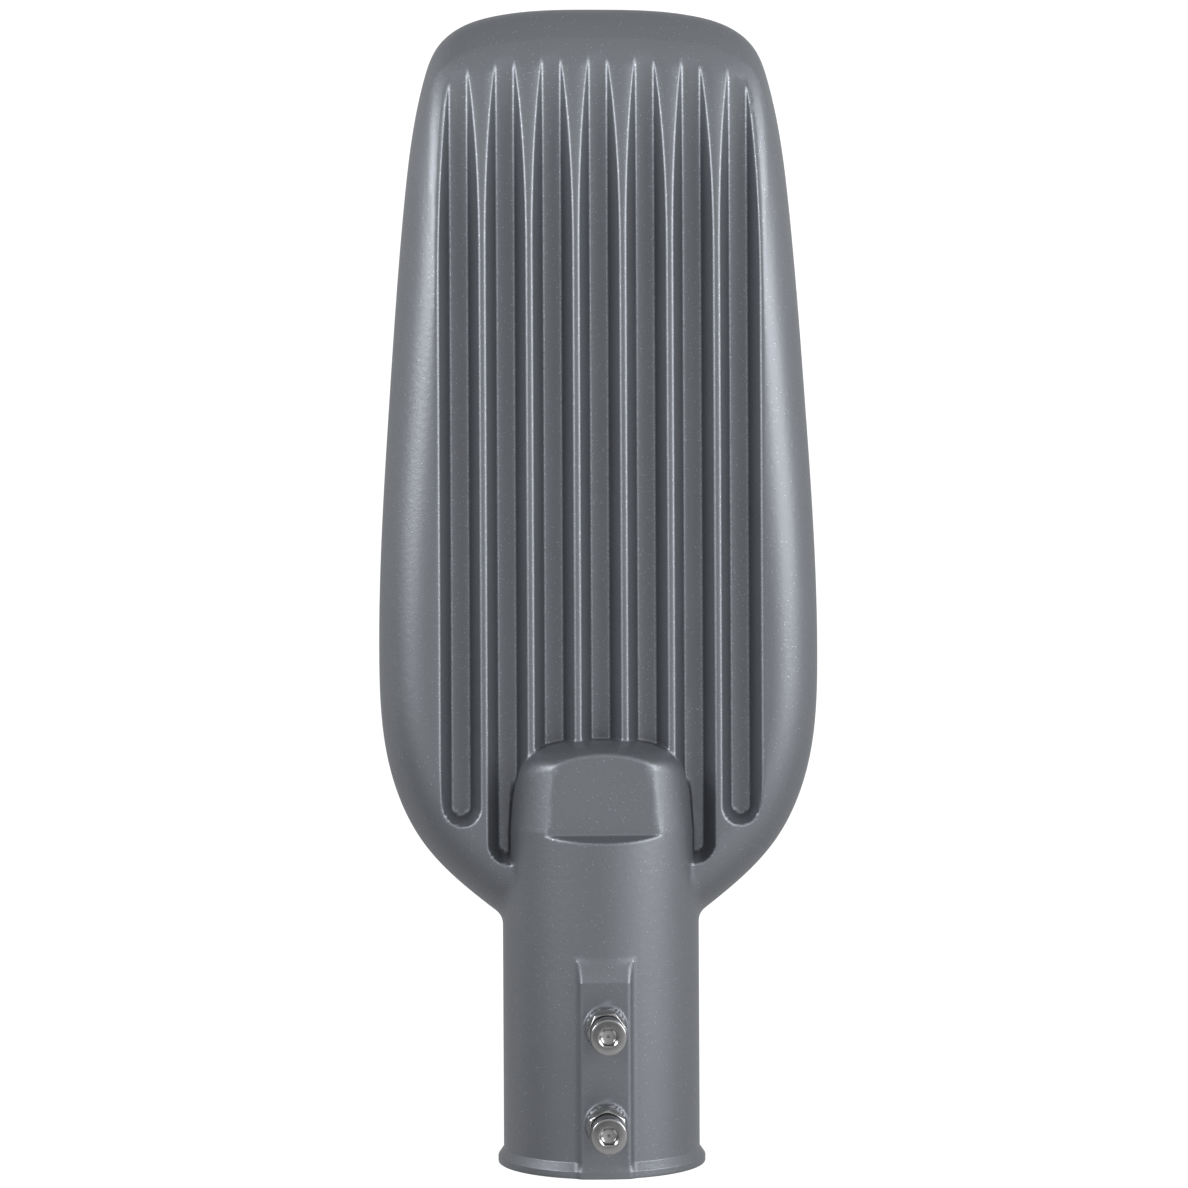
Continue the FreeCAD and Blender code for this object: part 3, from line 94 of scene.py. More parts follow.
class StageSizes(PropertyGroup):
    camera_distance: FloatProperty(
        name="Camera distance", description="Camera to the tube axis", unit="LENGTH",
        default=1.156, min=0.3, max=5.0)
    frame_width: FloatProperty(
        name="Frame width", description="Width seen at the tube axis", unit="LENGTH",
        default=0.449, min=0.1, max=2.0)
    camera_lean: FloatProperty(
        name="Camera lean", description="Lean of the view to the left", unit="ROTATION",
        default=math.radians(2.2))
    camera_turn: FloatProperty(
        name="Camera turn", description="Turn of the view about its axis", unit="ROTATION",
        default=math.radians(0.27))
    right_lamp: FloatProperty(
        name="Right lamp", description="Power of the lamp on the right", unit="POWER",
        default=11.5, min=0.0)
    left_lamp: FloatProperty(
        name="Left lamp", description="Power of the lamp on the left", unit="POWER",
        default=11.0, min=0.0)
    overhead: FloatProperty(
        name="Overhead light", description="Strength of the soft light from above", default=1.5, min=0.0)


# Shader expressions

def operation(kind, turned=False):
    """A method that makes a math node of two values; turned puts the second one first."""
    def work(self, other):
        return self.graph.math(kind, *((other, self) if turned else (self, other)))
    return work


class Sum:
    """A value in a node tree that adds, subtracts and multiplies as a number does."""

    def __init__(self, graph, socket):
        self.graph, self.socket = graph, socket

    __add__, __radd__ = operation("ADD"), operation("ADD", True)
    __sub__, __rsub__ = operation("SUBTRACT"), operation("SUBTRACT", True)
    __mul__, __rmul__ = operation("MULTIPLY"), operation("MULTIPLY", True)
    __pow__ = operation("POWER")

    def __neg__(self):
        return self * -1.0

    def between(self, low, high):
        """0 below low, 1 above high, smooth between them."""
        return self.graph.node(
            "ShaderNodeMapRange", {"interpolation_type": "SMOOTHSTEP"},
            {"Value": self, "From Min": low, "From Max": high},
        ).value("Result")


class Placed:
    """A node whose outputs are taken by name or number."""

    def __init__(self, graph, node):
        self.graph, self.made = graph, node

    def value(self, name):
        return Sum(self.graph, self.made.outputs[name])

    def link(self, name):
        return self.made.outputs[name]


def socket_name(word):
    return word.replace("_", " ").title().replace("Ior", "IOR")


class Graph:
    """A node tree whose nodes come from one method."""

    def __init__(self, tree):
        self.tree = tree

    def feed(self, socket, given):
        """Put a number, colour, Sum, socket or several of them into an input."""
        if isinstance(given, list):
            for part in given:
                self.feed(socket, part)
            return
        if isinstance(given, Sum):
            given = given.socket
        if isinstance(given, bpy.types.NodeSocket):
            self.tree.links.new(given, socket)
        elif isinstance(given, tuple) and len(given) == 3 and socket.type == "RGBA":
            socket.default_value = (*given, 1.0)
        else:
            socket.default_value = given

    def node(self, kind, settings=None, sockets=None):
        """A new node with its settings, then its inputs by name or number."""
        made = self.tree.nodes.new(kind)
        for name, setting in (settings or {}).items():
            setattr(made, name, setting)
        for name, given in (sockets or {}).items():
            self.feed(made.inputs[name], given)
        return Placed(self, made)

    def math(self, operation, *given):
        return self.node("ShaderNodeMath", {"operation": operation}, dict(enumerate(given))).value(0)


class Finish(Graph):
    """A material built from one Principled shader."""

    def __init__(self, name, color, roughness, metallic=0.0, **fixed):
        self.material = bpy.data.materials.new(name)
        self.material.use_nodes = True
        super().__init__(self.material.node_tree)
        self.tree.nodes.clear()
        sockets = {"Base Color": color, "Roughness": roughness, "Metallic": metallic}
        sockets.update({socket_name(word): setting for word, setting in fixed.items()})
        self.shader = self.node("ShaderNodeBsdfPrincipled", None, sockets).made
        surface = self.shader.outputs["BSDF"]
        self.output = self.node("ShaderNodeOutputMaterial", None, {"Surface": surface}).made
        self.place = self.node("ShaderNodeTexCoord").link("Object")

    def mix(self, share, first, second):
        return self.node("ShaderNodeMix", {"data_type": "RGBA"}, {0: share, 6: first, 7: second}).link(2)

    def noise(self, scale, detail):
        sockets = {"Vector": self.place, "Scale": scale, "Detail": detail}
        return self.node("ShaderNodeTexNoise", None, sockets).value("Fac")

    def cells(self, scale):
        return self.node("ShaderNodeTexVoronoi", None, {"Vector": self.place, "Scale": scale})

    def bump(self, height, strength, distance, under=None):
        sockets = {"Height": height, "Strength": strength, "Distance": distance}
        if under is not None:
            sockets["Normal"] = under
        return self.node("ShaderNodeBump", None, sockets).link("Normal")

    def use(self, **fed):
        for name, given in fed.items():
            self.feed(self.shader.inputs[socket_name(name)], given)


class Pattern(Graph):
    """A geometry tree with named inputs; what it grows on an object is kept as a plain mesh."""

    def __init__(self, name, **inputs):
        super().__init__(bpy.data.node_groups.new(name, "GeometryNodeTree"))
        sockets = self.tree.interface
        sockets.new_socket("Geometry", in_out="INPUT", socket_type="NodeSocketGeometry")
        sockets.new_socket("Geometry", in_out="OUTPUT", socket_type="NodeSocketGeometry")
        for title, kind in inputs.items():
            sockets.new_socket(title, in_out="INPUT", socket_type="NodeSocket" + kind)
        self.inputs = self.tree.nodes.new("NodeGroupInput")
        self.output = self.tree.nodes.new("NodeGroupOutput")

    def given(self, title):
        return Sum(self, self.inputs.outputs[title])

    def mesh(self, kind, settings=None, sockets=None, output="Geometry"):
        return self.node("GeometryNode" + kind, settings, sockets).link(output)

    def vector(self, x=0.0, y=0.0, z=0.0):
        return self.node("ShaderNodeCombineXYZ", None, {"X": x, "Y": y, "Z": z}).link("Vector")

    def close(self, geometry):
        real = self.mesh("RealizeInstances", None, {"Geometry": geometry})
        made = self.mesh("SetMaterial", None, {"Geometry": real, "Material": self.given("material")})
        self.feed(self.output.inputs["Geometry"], made)

    def grow(self, name, mesh, **values):
        """Grow the pattern on a mesh and keep the result as the piece's plain mesh."""
        piece = linked(name, mesh)
        modifier = piece.modifiers.new("pattern", "NODES")
        modifier.node_group = self.tree
        for item in self.tree.interface.items_tree:
            if item.in_out == "INPUT" and item.name in values:
                modifier[item.identifier] = values[item.name]
        take_modifiers(piece)
        return piece


def turned_pattern():
    """Screws and bolts: a lathed profile with a drive recess and a raised thread, one at each point.

    The recess is a prism with a drilled point at its floor and a bevelled mouth.
    """
    tree = Pattern(
        "turned_fasteners", profile="Object", material="Material", facets="Int", reach="Float",
        recess_sides="Int", recess_radius="Float", recess_depth="Float", recess_mouth="Float",
        thread_radius="Float", thread_pitch="Float", thread_start="Float", thread_turns="Float",
        overturn="Float", turn_spread="Float", seed="Int")
    outline = tree.mesh("ObjectInfo", None, {"Object": tree.given("profile")})
    outline = tree.mesh("MeshToCurve", None, {"Mesh": outline}, "Curve")
    around = tree.mesh("CurvePrimitiveCircle", None, {
        "Resolution": tree.given("facets"), "Radius": tree.given("reach")}, "Curve")
    turned = tree.mesh("CurveToMesh", None, {"Curve": around, "Profile Curve": outline}, "Mesh")
    turned = tree.mesh("MergeByDistance", None, {"Geometry": turned, "Distance": 2e-6})
    turned = tree.mesh("FlipFaces", None, {"Mesh": turned}, "Mesh")
    radius, depth, mouth_depth = (tree.given("recess_" + part) for part in ("radius", "depth", "mouth"))
    socket = tree.mesh("MeshCylinder", None, {
        "Vertices": tree.given("recess_sides"), "Radius": radius, "Depth": depth * 2.0}, "Mesh")
    point = tree.mesh("MeshCone", None, {
        "Vertices": tree.given("facets"), "Radius Top": 0.0, "Radius Bottom": radius * 0.84,
        "Depth": radius * 0.5}, "Mesh")
    point = tree.mesh("Transform", None, {"Geometry": point, "Translation": tree.vector(z=depth - 1e-6)})
    mouth = tree.mesh("MeshCone", None, {
        "Vertices": tree.given("facets"), "Radius Top": radius * 0.86, "Radius Bottom": radius * 1.28,
        "Depth": mouth_depth * 2.0}, "Mesh")
    mouth = tree.mesh("Transform", None, {"Geometry": mouth, "Translation": tree.vector(z=-mouth_depth)})
    bored = tree.mesh("MeshBoolean", {"operation": "DIFFERENCE", "solver": "EXACT"}, {
        "Mesh 1": turned, "Mesh 2": [socket, mouth, point]}, "Mesh")
    pitch, turns = tree.given("thread_pitch"), tree.given("thread_turns")
    helix = tree.mesh("CurveSpiral", None, {
        "Resolution": tree.given("facets"), "Rotations": turns, "Height": pitch * turns,
        "Start Radius": tree.given("thread_radius"), "End Radius": tree.given("thread_radius")}, "Curve")
    helix = tree.mesh("SetCurveNormal", {"mode": "Z_UP"}, {"Curve": helix}, "Curve")
    ridge = tree.mesh("CurvePrimitiveQuadrilateral", {"mode": "TRAPEZOID"}, {
        "Height": pitch * 0.62, "Bottom Width": pitch * 0.9, "Top Width": pitch * 0.14,
        "Offset": 0.0}, "Curve")
    ridge = tree.mesh("Transform", None, {
        "Geometry": ridge, "Rotation": (0.0, 0.0, math.radians(-90)),
        "Translation": tree.vector(x=pitch * -0.31)})
    thread = tree.mesh("CurveToMesh", None, {
        "Curve": helix, "Profile Curve": ridge, "Fill Caps": True}, "Mesh")
    thread = tree.mesh("Transform", None, {
        "Geometry": thread, "Translation": tree.vector(z=tree.given("thread_start"))})
    whole = tree.mesh("JoinGeometry", None, {"Geometry": [bored, thread]})
    turn = tree.node("FunctionNodeRandomValue", None, {"Seed": tree.given("seed")}).value(1)
    turn = turn * tree.given("turn_spread")
    placed = tree.mesh("InstanceOnPoints", None, {
        "Points": tree.inputs.outputs["Geometry"], "Instance": whole,
        "Rotation": tree.vector(x=tree.given("overturn"), z=turn)}, "Instances")
    tree.close(placed)
    return tree


def package_pattern():
    """LED packages: a square body with a round lens under each point of a grid."""
    tree = Pattern(
        "led_packages", material="Material", across="Int", along="Int", span_across="Float",
        span_along="Float", middle_y="Float", level="Float", width="Float", body="Float", lens="Float")
    grid = tree.mesh("MeshGrid", None, {
        "Size X": tree.given("span_across"), "Size Y": tree.given("span_along"),
        "Vertices X": tree.given("across"), "Vertices Y": tree.given("along")}, "Mesh")
    width, height, lens = tree.given("width"), tree.given("body"), tree.given("lens")
    body = tree.mesh("MeshCube", None, {"Size": tree.vector(width, width, height)}, "Mesh")
    body = tree.mesh("Transform", None, {"Geometry": body, "Translation": tree.vector(z=height * -0.5)})
    dome = tree.mesh("MeshCone", None, {
        "Vertices": 20, "Radius Top": width * 0.44, "Radius Bottom": width * 0.36, "Depth": lens}, "Mesh")
    dome = tree.mesh("Transform", None, {"Geometry": dome, "Translation": tree.vector(z=-height - lens)})
    whole = tree.mesh("JoinGeometry", None, {"Geometry": [body, dome]})
    placed = tree.mesh("InstanceOnPoints", None, {"Points": grid, "Instance": whole}, "Instances")
    moved = tree.mesh("Transform", None, {
        "Geometry": placed, "Translation": tree.vector(y=tree.given("middle_y"), z=tree.given("level"))})
    tree.close(moved)
    return tree


def shade_of(color, factor):
    return tuple(min(1.0, channel * factor) for channel in color)


# Finishes

PEEL_DEPTH, GRAIN_DEPTH, SPECK_DEPTH, SCRATCH_DEPTH = 0.00025, 0.0001, 0.00008, 0.00005


def coated_casting(colour):
    """Grey powder coat with fine metal flakes shown as painted glints, and painted highlights along the
    cast edges.
    """
    finish = Finish("powder_coat", colour, 0.38, 0.75, specular_ior_level=0.5)
    # Mask of the cast edges that get painted highlights.
    edge = finish.node("ShaderNodeAttribute", {"attribute_name": "edge"}).value("Fac")
    cloud = finish.noise(26.0, 4.0)
    grain = finish.noise(1900.0, 2.0)
    flakes = finish.cells(2300.0)
    pick = finish.node("ShaderNodeSeparateColor", None, {"Color": flakes.link("Color")}).value("Red")
    disc = 1.0 - flakes.value("Distance").between(0.2, 0.42)
    patch = finish.noise(60.0, 2.0).between(0.35, 0.75)
    # Flakes: a few cells get a bright painted glint in the base colour, more of them on the cast edges.
    flake_glint = disc * pick.between(0.965 - patch * 0.03 - edge * 0.35, 1.0)
    tone = finish.mix(cloud * 0.4 + grain * 0.6, shade_of(colour, 0.84), shade_of(colour, 1.16))
    # Painted highlight: the base colour is brightened along the cast edges, broken up by the grain.
    edge_highlight = edge.between(0.1, 0.85) * (0.25 + grain.between(0.38, 0.62) * 0.75)
    edge_highlighted_tone = finish.mix(edge_highlight, tone, shade_of(colour, 1.75))
    finish.use(
        base_color=finish.mix(flake_glint * 0.8, edge_highlighted_tone, shade_of(colour, 3.6)),
        roughness=0.42 - flake_glint * 0.15 + edge * 0.06 + cloud * 0.05,
    )
    peel = finish.noise(520.0, 3.0)
    fine = finish.bump(grain, 0.3, GRAIN_DEPTH)
    finish.use(normal=finish.bump(peel, 0.25, PEEL_DEPTH, fine))
    return finish.material


def stainless(colour):
    """Drawn stainless steel with fine scratches."""
    finish = Finish("stainless_steel", colour, 0.3, 1.0)
    cloud = finish.noise(420.0, 3.0)
    scratch = finish.noise(3000.0, 2.0)
    finish.use(
        base_color=finish.mix(cloud, shade_of(colour, 0.82), shade_of(colour, 1.1)),
        roughness=0.13 + cloud * 0.08 + scratch * 0.06,
        normal=finish.bump(scratch, 0.12, SCRATCH_DEPTH),
    )
    return finish.material


def moulded(name, colour, roughness, metallic=0.0):
    """A plain finish with faint clouds and a fine grain."""
    finish = Finish(name, colour, roughness, metallic)
    cloud = finish.noise(60.0, 3.0)
    speck = finish.noise(900.0, 3.0)
    finish.use(
        base_color=finish.mix(cloud, shade_of(colour, 0.9), shade_of(colour, 1.08)),
        roughness=roughness - 0.06 + speck * 0.12,
        normal=finish.bump(speck, 0.2, SPECK_DEPTH),
    )
    return finish.material


def clear(name, colour, roughness, ior):
    """Glass or clear plastic with a slight haze."""
    finish = Finish(name, colour, roughness, 0.0, ior=ior, transmission_weight=1.0)
    haze = finish.noise(35.0, 4.0)
    finish.use(roughness=roughness + haze * 0.03)
    return finish.material


finishes = {}
MOULDED = (
    # finish, colour, roughness
    ("gland_plastic", (0.035, 0.036, 0.038), 0.5), ("seal_rubber", (0.022, 0.022, 0.023), 0.7),
    ("thermal_sheet", (0.30, 0.36, 0.42), 0.75), ("led_board", (0.80, 0.81, 0.79), 0.4),
    ("led_package", (0.82, 0.66, 0.16), 0.35), ("tray_white", (0.80, 0.80, 0.79), 0.35),
    ("driver_case", (0.62, 0.63, 0.63), 0.45), ("terminal_plastic", (0.68, 0.67, 0.62), 0.45),
    ("arrester_plastic", (0.045, 0.10, 0.22), 0.4), ("vent_plastic", (0.05, 0.05, 0.052), 0.5),
    ("lead_insulation", (0.45, 0.03, 0.025), 0.45), ("mains_insulation", (0.16, 0.07, 0.03), 0.45),
)


def make_finishes(colours):
    for name, colour, roughness in MOULDED:
        finishes[name] = moulded(name, colour, roughness)
    finishes["brass"] = moulded("brass", (0.62, 0.46, 0.20), 0.3, 1.0)
    finishes["clear_glass"] = clear("clear_glass", (0.93, 0.97, 0.95), 0.0, 1.5)
    finishes["lens_plastic"] = clear("lens_plastic", (0.97, 0.98, 0.98), 0.02, 1.49)
    finishes["coated_casting"] = coated_casting(tuple(colours.coat))
    finishes["stainless"] = stainless(tuple(colours.steel))


# Outline of the head in plan, in mm: share 0 is the outline at the parting line, share 1 the edge of
# the flat top.
HALF_WIDTH, WIDEST, HEAD_END, TAIL_END = 83.4, 188.8, 436.4, 84.0
SIDE_ROLL, NOSE_FALL = 20.0, 93.0
HEAD_POINTS = (
    # across and along as shares of the half width and the length, and the same for the way inwards
    (0.0, 1.0, 0.0, 1.0), (0.4436, 0.9907, -0.15, 0.99), (0.6463, 0.9661, -0.08, 0.968),
    (0.7230, 0.9414, 0.025, 0.977), (0.7842, 0.8922, 0.22, 0.975), (0.8753, 0.7076, 0.625, 0.85),
    (0.9484, 0.3998, 0.905, 0.51), (1.0, 0.0, 1.0, 0.0),
)
TAIL_POINTS = (
    (0.9604, 0.3635, 0.93, 0.315), (0.8058, 0.6546, 0.785, 0.64), (0.5264, 0.8731, 0.62, 0.785),
    (0.36, 0.96, 0.4, 0.9), (0.0, 1.0, 0.0, 1.0),
)


def outline_points(share):
    """The outline's points, moved inwards by a share of the rounded border."""
    points = []
    for across, along, draw_across, draw_along in HEAD_POINTS:
        points.append((
            across * HALF_WIDTH - share * draw_across * SIDE_ROLL,
            WIDEST + along * (HEAD_END - WIDEST) - share * draw_along * NOSE_FALL,
        ))
    for across, along, draw_across, draw_along in TAIL_POINTS:
        points.append((
            across * HALF_WIDTH - share * draw_across * SIDE_ROLL,
            WIDEST - along * (WIDEST - TAIL_END) + share * draw_along * SIDE_ROLL,
        ))
    return np.array(points)


class Curve:
    """Cubic spline through points, square to the middle plane at both ends."""

    def __init__(self, marks, points):
        gaps = np.diff(marks)
        rises = np.diff(points, axis=0) / gaps[:, None]
        count = len(marks)
        ends = [np.linalg.norm(rises[0]), np.linalg.norm(rises[-1])]
        rows = np.zeros((count, count))
        known = np.zeros((count, 2))
        rows[0, :2] = 2 * gaps[0], gaps[0]
        known[0] = 6 * (rises[0] - np.array([ends[0], 0]))
        rows[-1, -2:] = gaps[-1], 2 * gaps[-1]
        known[-1] = 6 * (np.array([-ends[1], 0]) - rises[-1])
        for at in range(1, count - 1):
            rows[at, at - 1:at + 2] = gaps[at - 1], 2 * (gaps[at - 1] + gaps[at]), gaps[at]
            known[at] = 6 * (rises[at] - rises[at - 1])
        self.marks, self.points, self.gaps = marks, points, gaps
        self.bends = np.linalg.solve(rows, known)

    def at(self, place):
        """Points and slopes at an array of places."""
        piece = np.clip(np.searchsorted(self.marks, place) - 1, 0, len(self.gaps) - 1)
        gap = self.gaps[piece][:, None]
        right = ((place - self.marks[piece]) / self.gaps[piece])[:, None]
        left = 1 - right
        first, second = self.points[piece], self.points[piece + 1]
        bend_first, bend_second = self.bends[piece], self.bends[piece + 1]
        point = (
            left * first + right * second
            + ((left**3 - left) * bend_first + (right**3 - right) * bend_second) * gap**2 / 6
        )
        slope = (
            (second - first) / gap
            + ((1 - 3 * left**2) * bend_first + (3 * right**2 - 1) * bend_second) * gap / 6
        )
        return point, slope


def outline_curves():
    outer = outline_points(0.0)
    marks = np.concatenate([[0.0], np.cumsum(np.linalg.norm(np.diff(outer, axis=0), axis=1))])
    return Curve(marks, outer), Curve(marks, outline_points(1.0))


def look_up(table, low, step, x, y):
    """Bilinear value of a plan table."""
    across = np.clip((x - low[0]) / step, 0, table.shape[1] - 1.001)
    along = np.clip((y - low[1]) / step, 0, table.shape[0] - 1.001)
    column, row = across.astype(int), along.astype(int)
    right, up = across - column, along - row
    lower = table[row, column] * (1 - right) + table[row, column + 1] * right
    upper = table[row + 1, column] * (1 - right) + table[row + 1, column + 1] * right
    return lower * (1 - up) + upper * up


PLAN_START, PLAN_MARGIN, SLOWEST_RISE = 66.0, 8.0, 1 / 140
SEARCH_PLACES, SEARCH_SHARES, SEARCH_PART, SEARCH_ROUNDS = 90, 14, 4000, 9


class ShareMap:
    """Share of the way from the outline to the flat top, for any place in plan.

    Each grid place starts from the nearest of some known points and closes in on its own share by Newton's
    method.
    """

    def __init__(self, step):
        outer, inner = outline_curves()
        self.step, self.low = step, (0.0, PLAN_START)
        across = np.arange(0, HALF_WIDTH + PLAN_MARGIN, step)
        along = np.arange(PLAN_START, HEAD_END + PLAN_MARGIN, step)
        x, y = (part.ravel() for part in np.meshgrid(across, along))
        places, shares = np.meshgrid(
            np.linspace(0, outer.marks[-1], SEARCH_PLACES), np.linspace(-0.3, 1.0, SEARCH_SHARES))
        places, shares = places.ravel(), shares.ravel()
        spread = outer.at(places)[0] * (1 - shares)[:, None] + inner.at(places)[0] * shares[:, None]
        start = np.empty(len(x), int)
        for first in range(0, len(x), SEARCH_PART):
            part = slice(first, first + SEARCH_PART)
            far = (x[part, None] - spread[None, :, 0])**2 + (y[part, None] - spread[None, :, 1])**2
            start[part] = far.argmin(axis=1)
        place, share = places[start], shares[start]
        for _ in range(SEARCH_ROUNDS):
            outer_point, outer_slope = outer.at(place)
            inner_point, inner_slope = inner.at(place)
            weight = share[:, None]
            miss = np.stack([x, y], 1) - outer_point * (1 - weight) - inner_point * weight
            along_curve = outer_slope * (1 - weight) + inner_slope * weight
            inward = inner_point - outer_point
            area = along_curve[:, 0] * inward[:, 1] - along_curve[:, 1] * inward[:, 0]
            area = np.where(np.abs(area) < 1e-6, 1e-6, area)
            step_place = (miss[:, 0] * inward[:, 1] - miss[:, 1] * inward[:, 0]) / area
            step_share = (along_curve[:, 0] * miss[:, 1] - along_curve[:, 1] * miss[:, 0]) / area
            place = np.clip(place + np.clip(step_place, -12, 12), 0, outer.marks[-1])
            share = np.clip(share + np.clip(step_share, -0.3, 0.3), -0.45, 1.06)
        self.table = share.reshape(len(along), len(across))
        rise_along, rise_across = np.gradient(self.table, step)
        self.steepness = np.maximum(np.hypot(rise_along, rise_across), SLOWEST_RISE)
        edge, _ = outer.at(np.linspace(0, outer.marks[-1], 1200))
        head = edge[:, 1].argsort()
        self.edge_along, self.edge_across = edge[head, 1], edge[head, 0]

    def share(self, x, y):
        return look_up(self.table, self.low, self.step, np.abs(x), y)

    def slope(self, x, y):
        return look_up(self.steepness, self.low, self.step, np.abs(x), y)

    def inward(self, x, y):
        """Direction away from the outline, in plan."""
        step = 0.25
        way = np.stack([
            self.share(np.abs(x) + step, y) - self.share(np.abs(x) - step, y),
            self.share(x, y + step) - self.share(x, y - step)], 1)
        return way / np.maximum(np.linalg.norm(way, axis=1), 1e-9)[:, None]

    def half_width(self, y):
        return np.interp(y, self.edge_along, self.edge_across, left=0.0, right=0.0)


def join(first, second, fillet):
    """Union of two forms with a fillet between them."""
    return np.minimum(first, second) - np.maximum(fillet - np.abs(first - second), 0)**2 / (4 * fillet)


def trim(first, second, rounding):
    """What two forms share, with its edge rounded."""
    return np.maximum(first, second) + np.maximum(rounding - np.abs(first - second), 0)**2 / (4 * rounding)


# The casting as a form in space, in mm: below zero inside.
PARTING, TOP, RIM, DRAFT = -9.0, 16.5, -37.0, 2.5
GROOVE_FLOOR, GROOVE_HALF, GROOVE_SPREAD, GROOVE_PITCH = 7.0, 3.45, 4.1, 17.5
SIDE_GROOVE_END, GROOVE_END = 134.6, 120.4
TUBE, TUBE_RIM, RIM_LAND, RIM_TAPER = 37.0, 39.1, 2.6, 3.0
NECK, NARROWING, SHOULDER, NOSE = 126.0, 1.8, 150.7, 159.3
FACET, FACET_START, LEDGE = 30.4, 125.0, 2.6
PAD_HALF, PAD_TOP, PAD_LENGTH, PAD_END, PAD_FALL = 9.5, 38.8, 71.7, 78.6, 2.4
PAD_ROUNDING, PAD_FILLET = 1.8, 2.6
CREASE, CREASE_FALL, CREASE_START, CREASE_RUN = 0.14, 0.45, 380.0, 30.0
BOSS_FOOT, BOSS_TOP, BOSS_HEIGHT, BOSS_BOTTOM, BOLTS = 7.75, 7.2, 4.0, 20.0, (20.1, 55.5)
BOSS_ROUNDING, BOSS_FILLET = 0.5, 0.9
SEAM, FOOT, NOSE_ROUNDING, NOSE_POWER, FLAT_EDGE, LEDGE_FILLET = 15.0, 11.0, 16.0, 4.1, 1.3, 0.5
HUMP_START, HUMP_FADE, UPRIGHT = 110.0, 8.0, 0.85
FILLET_START, FILLET_RUN = 100.0, 10.0
BELOW_RIM = RIM - 0.05


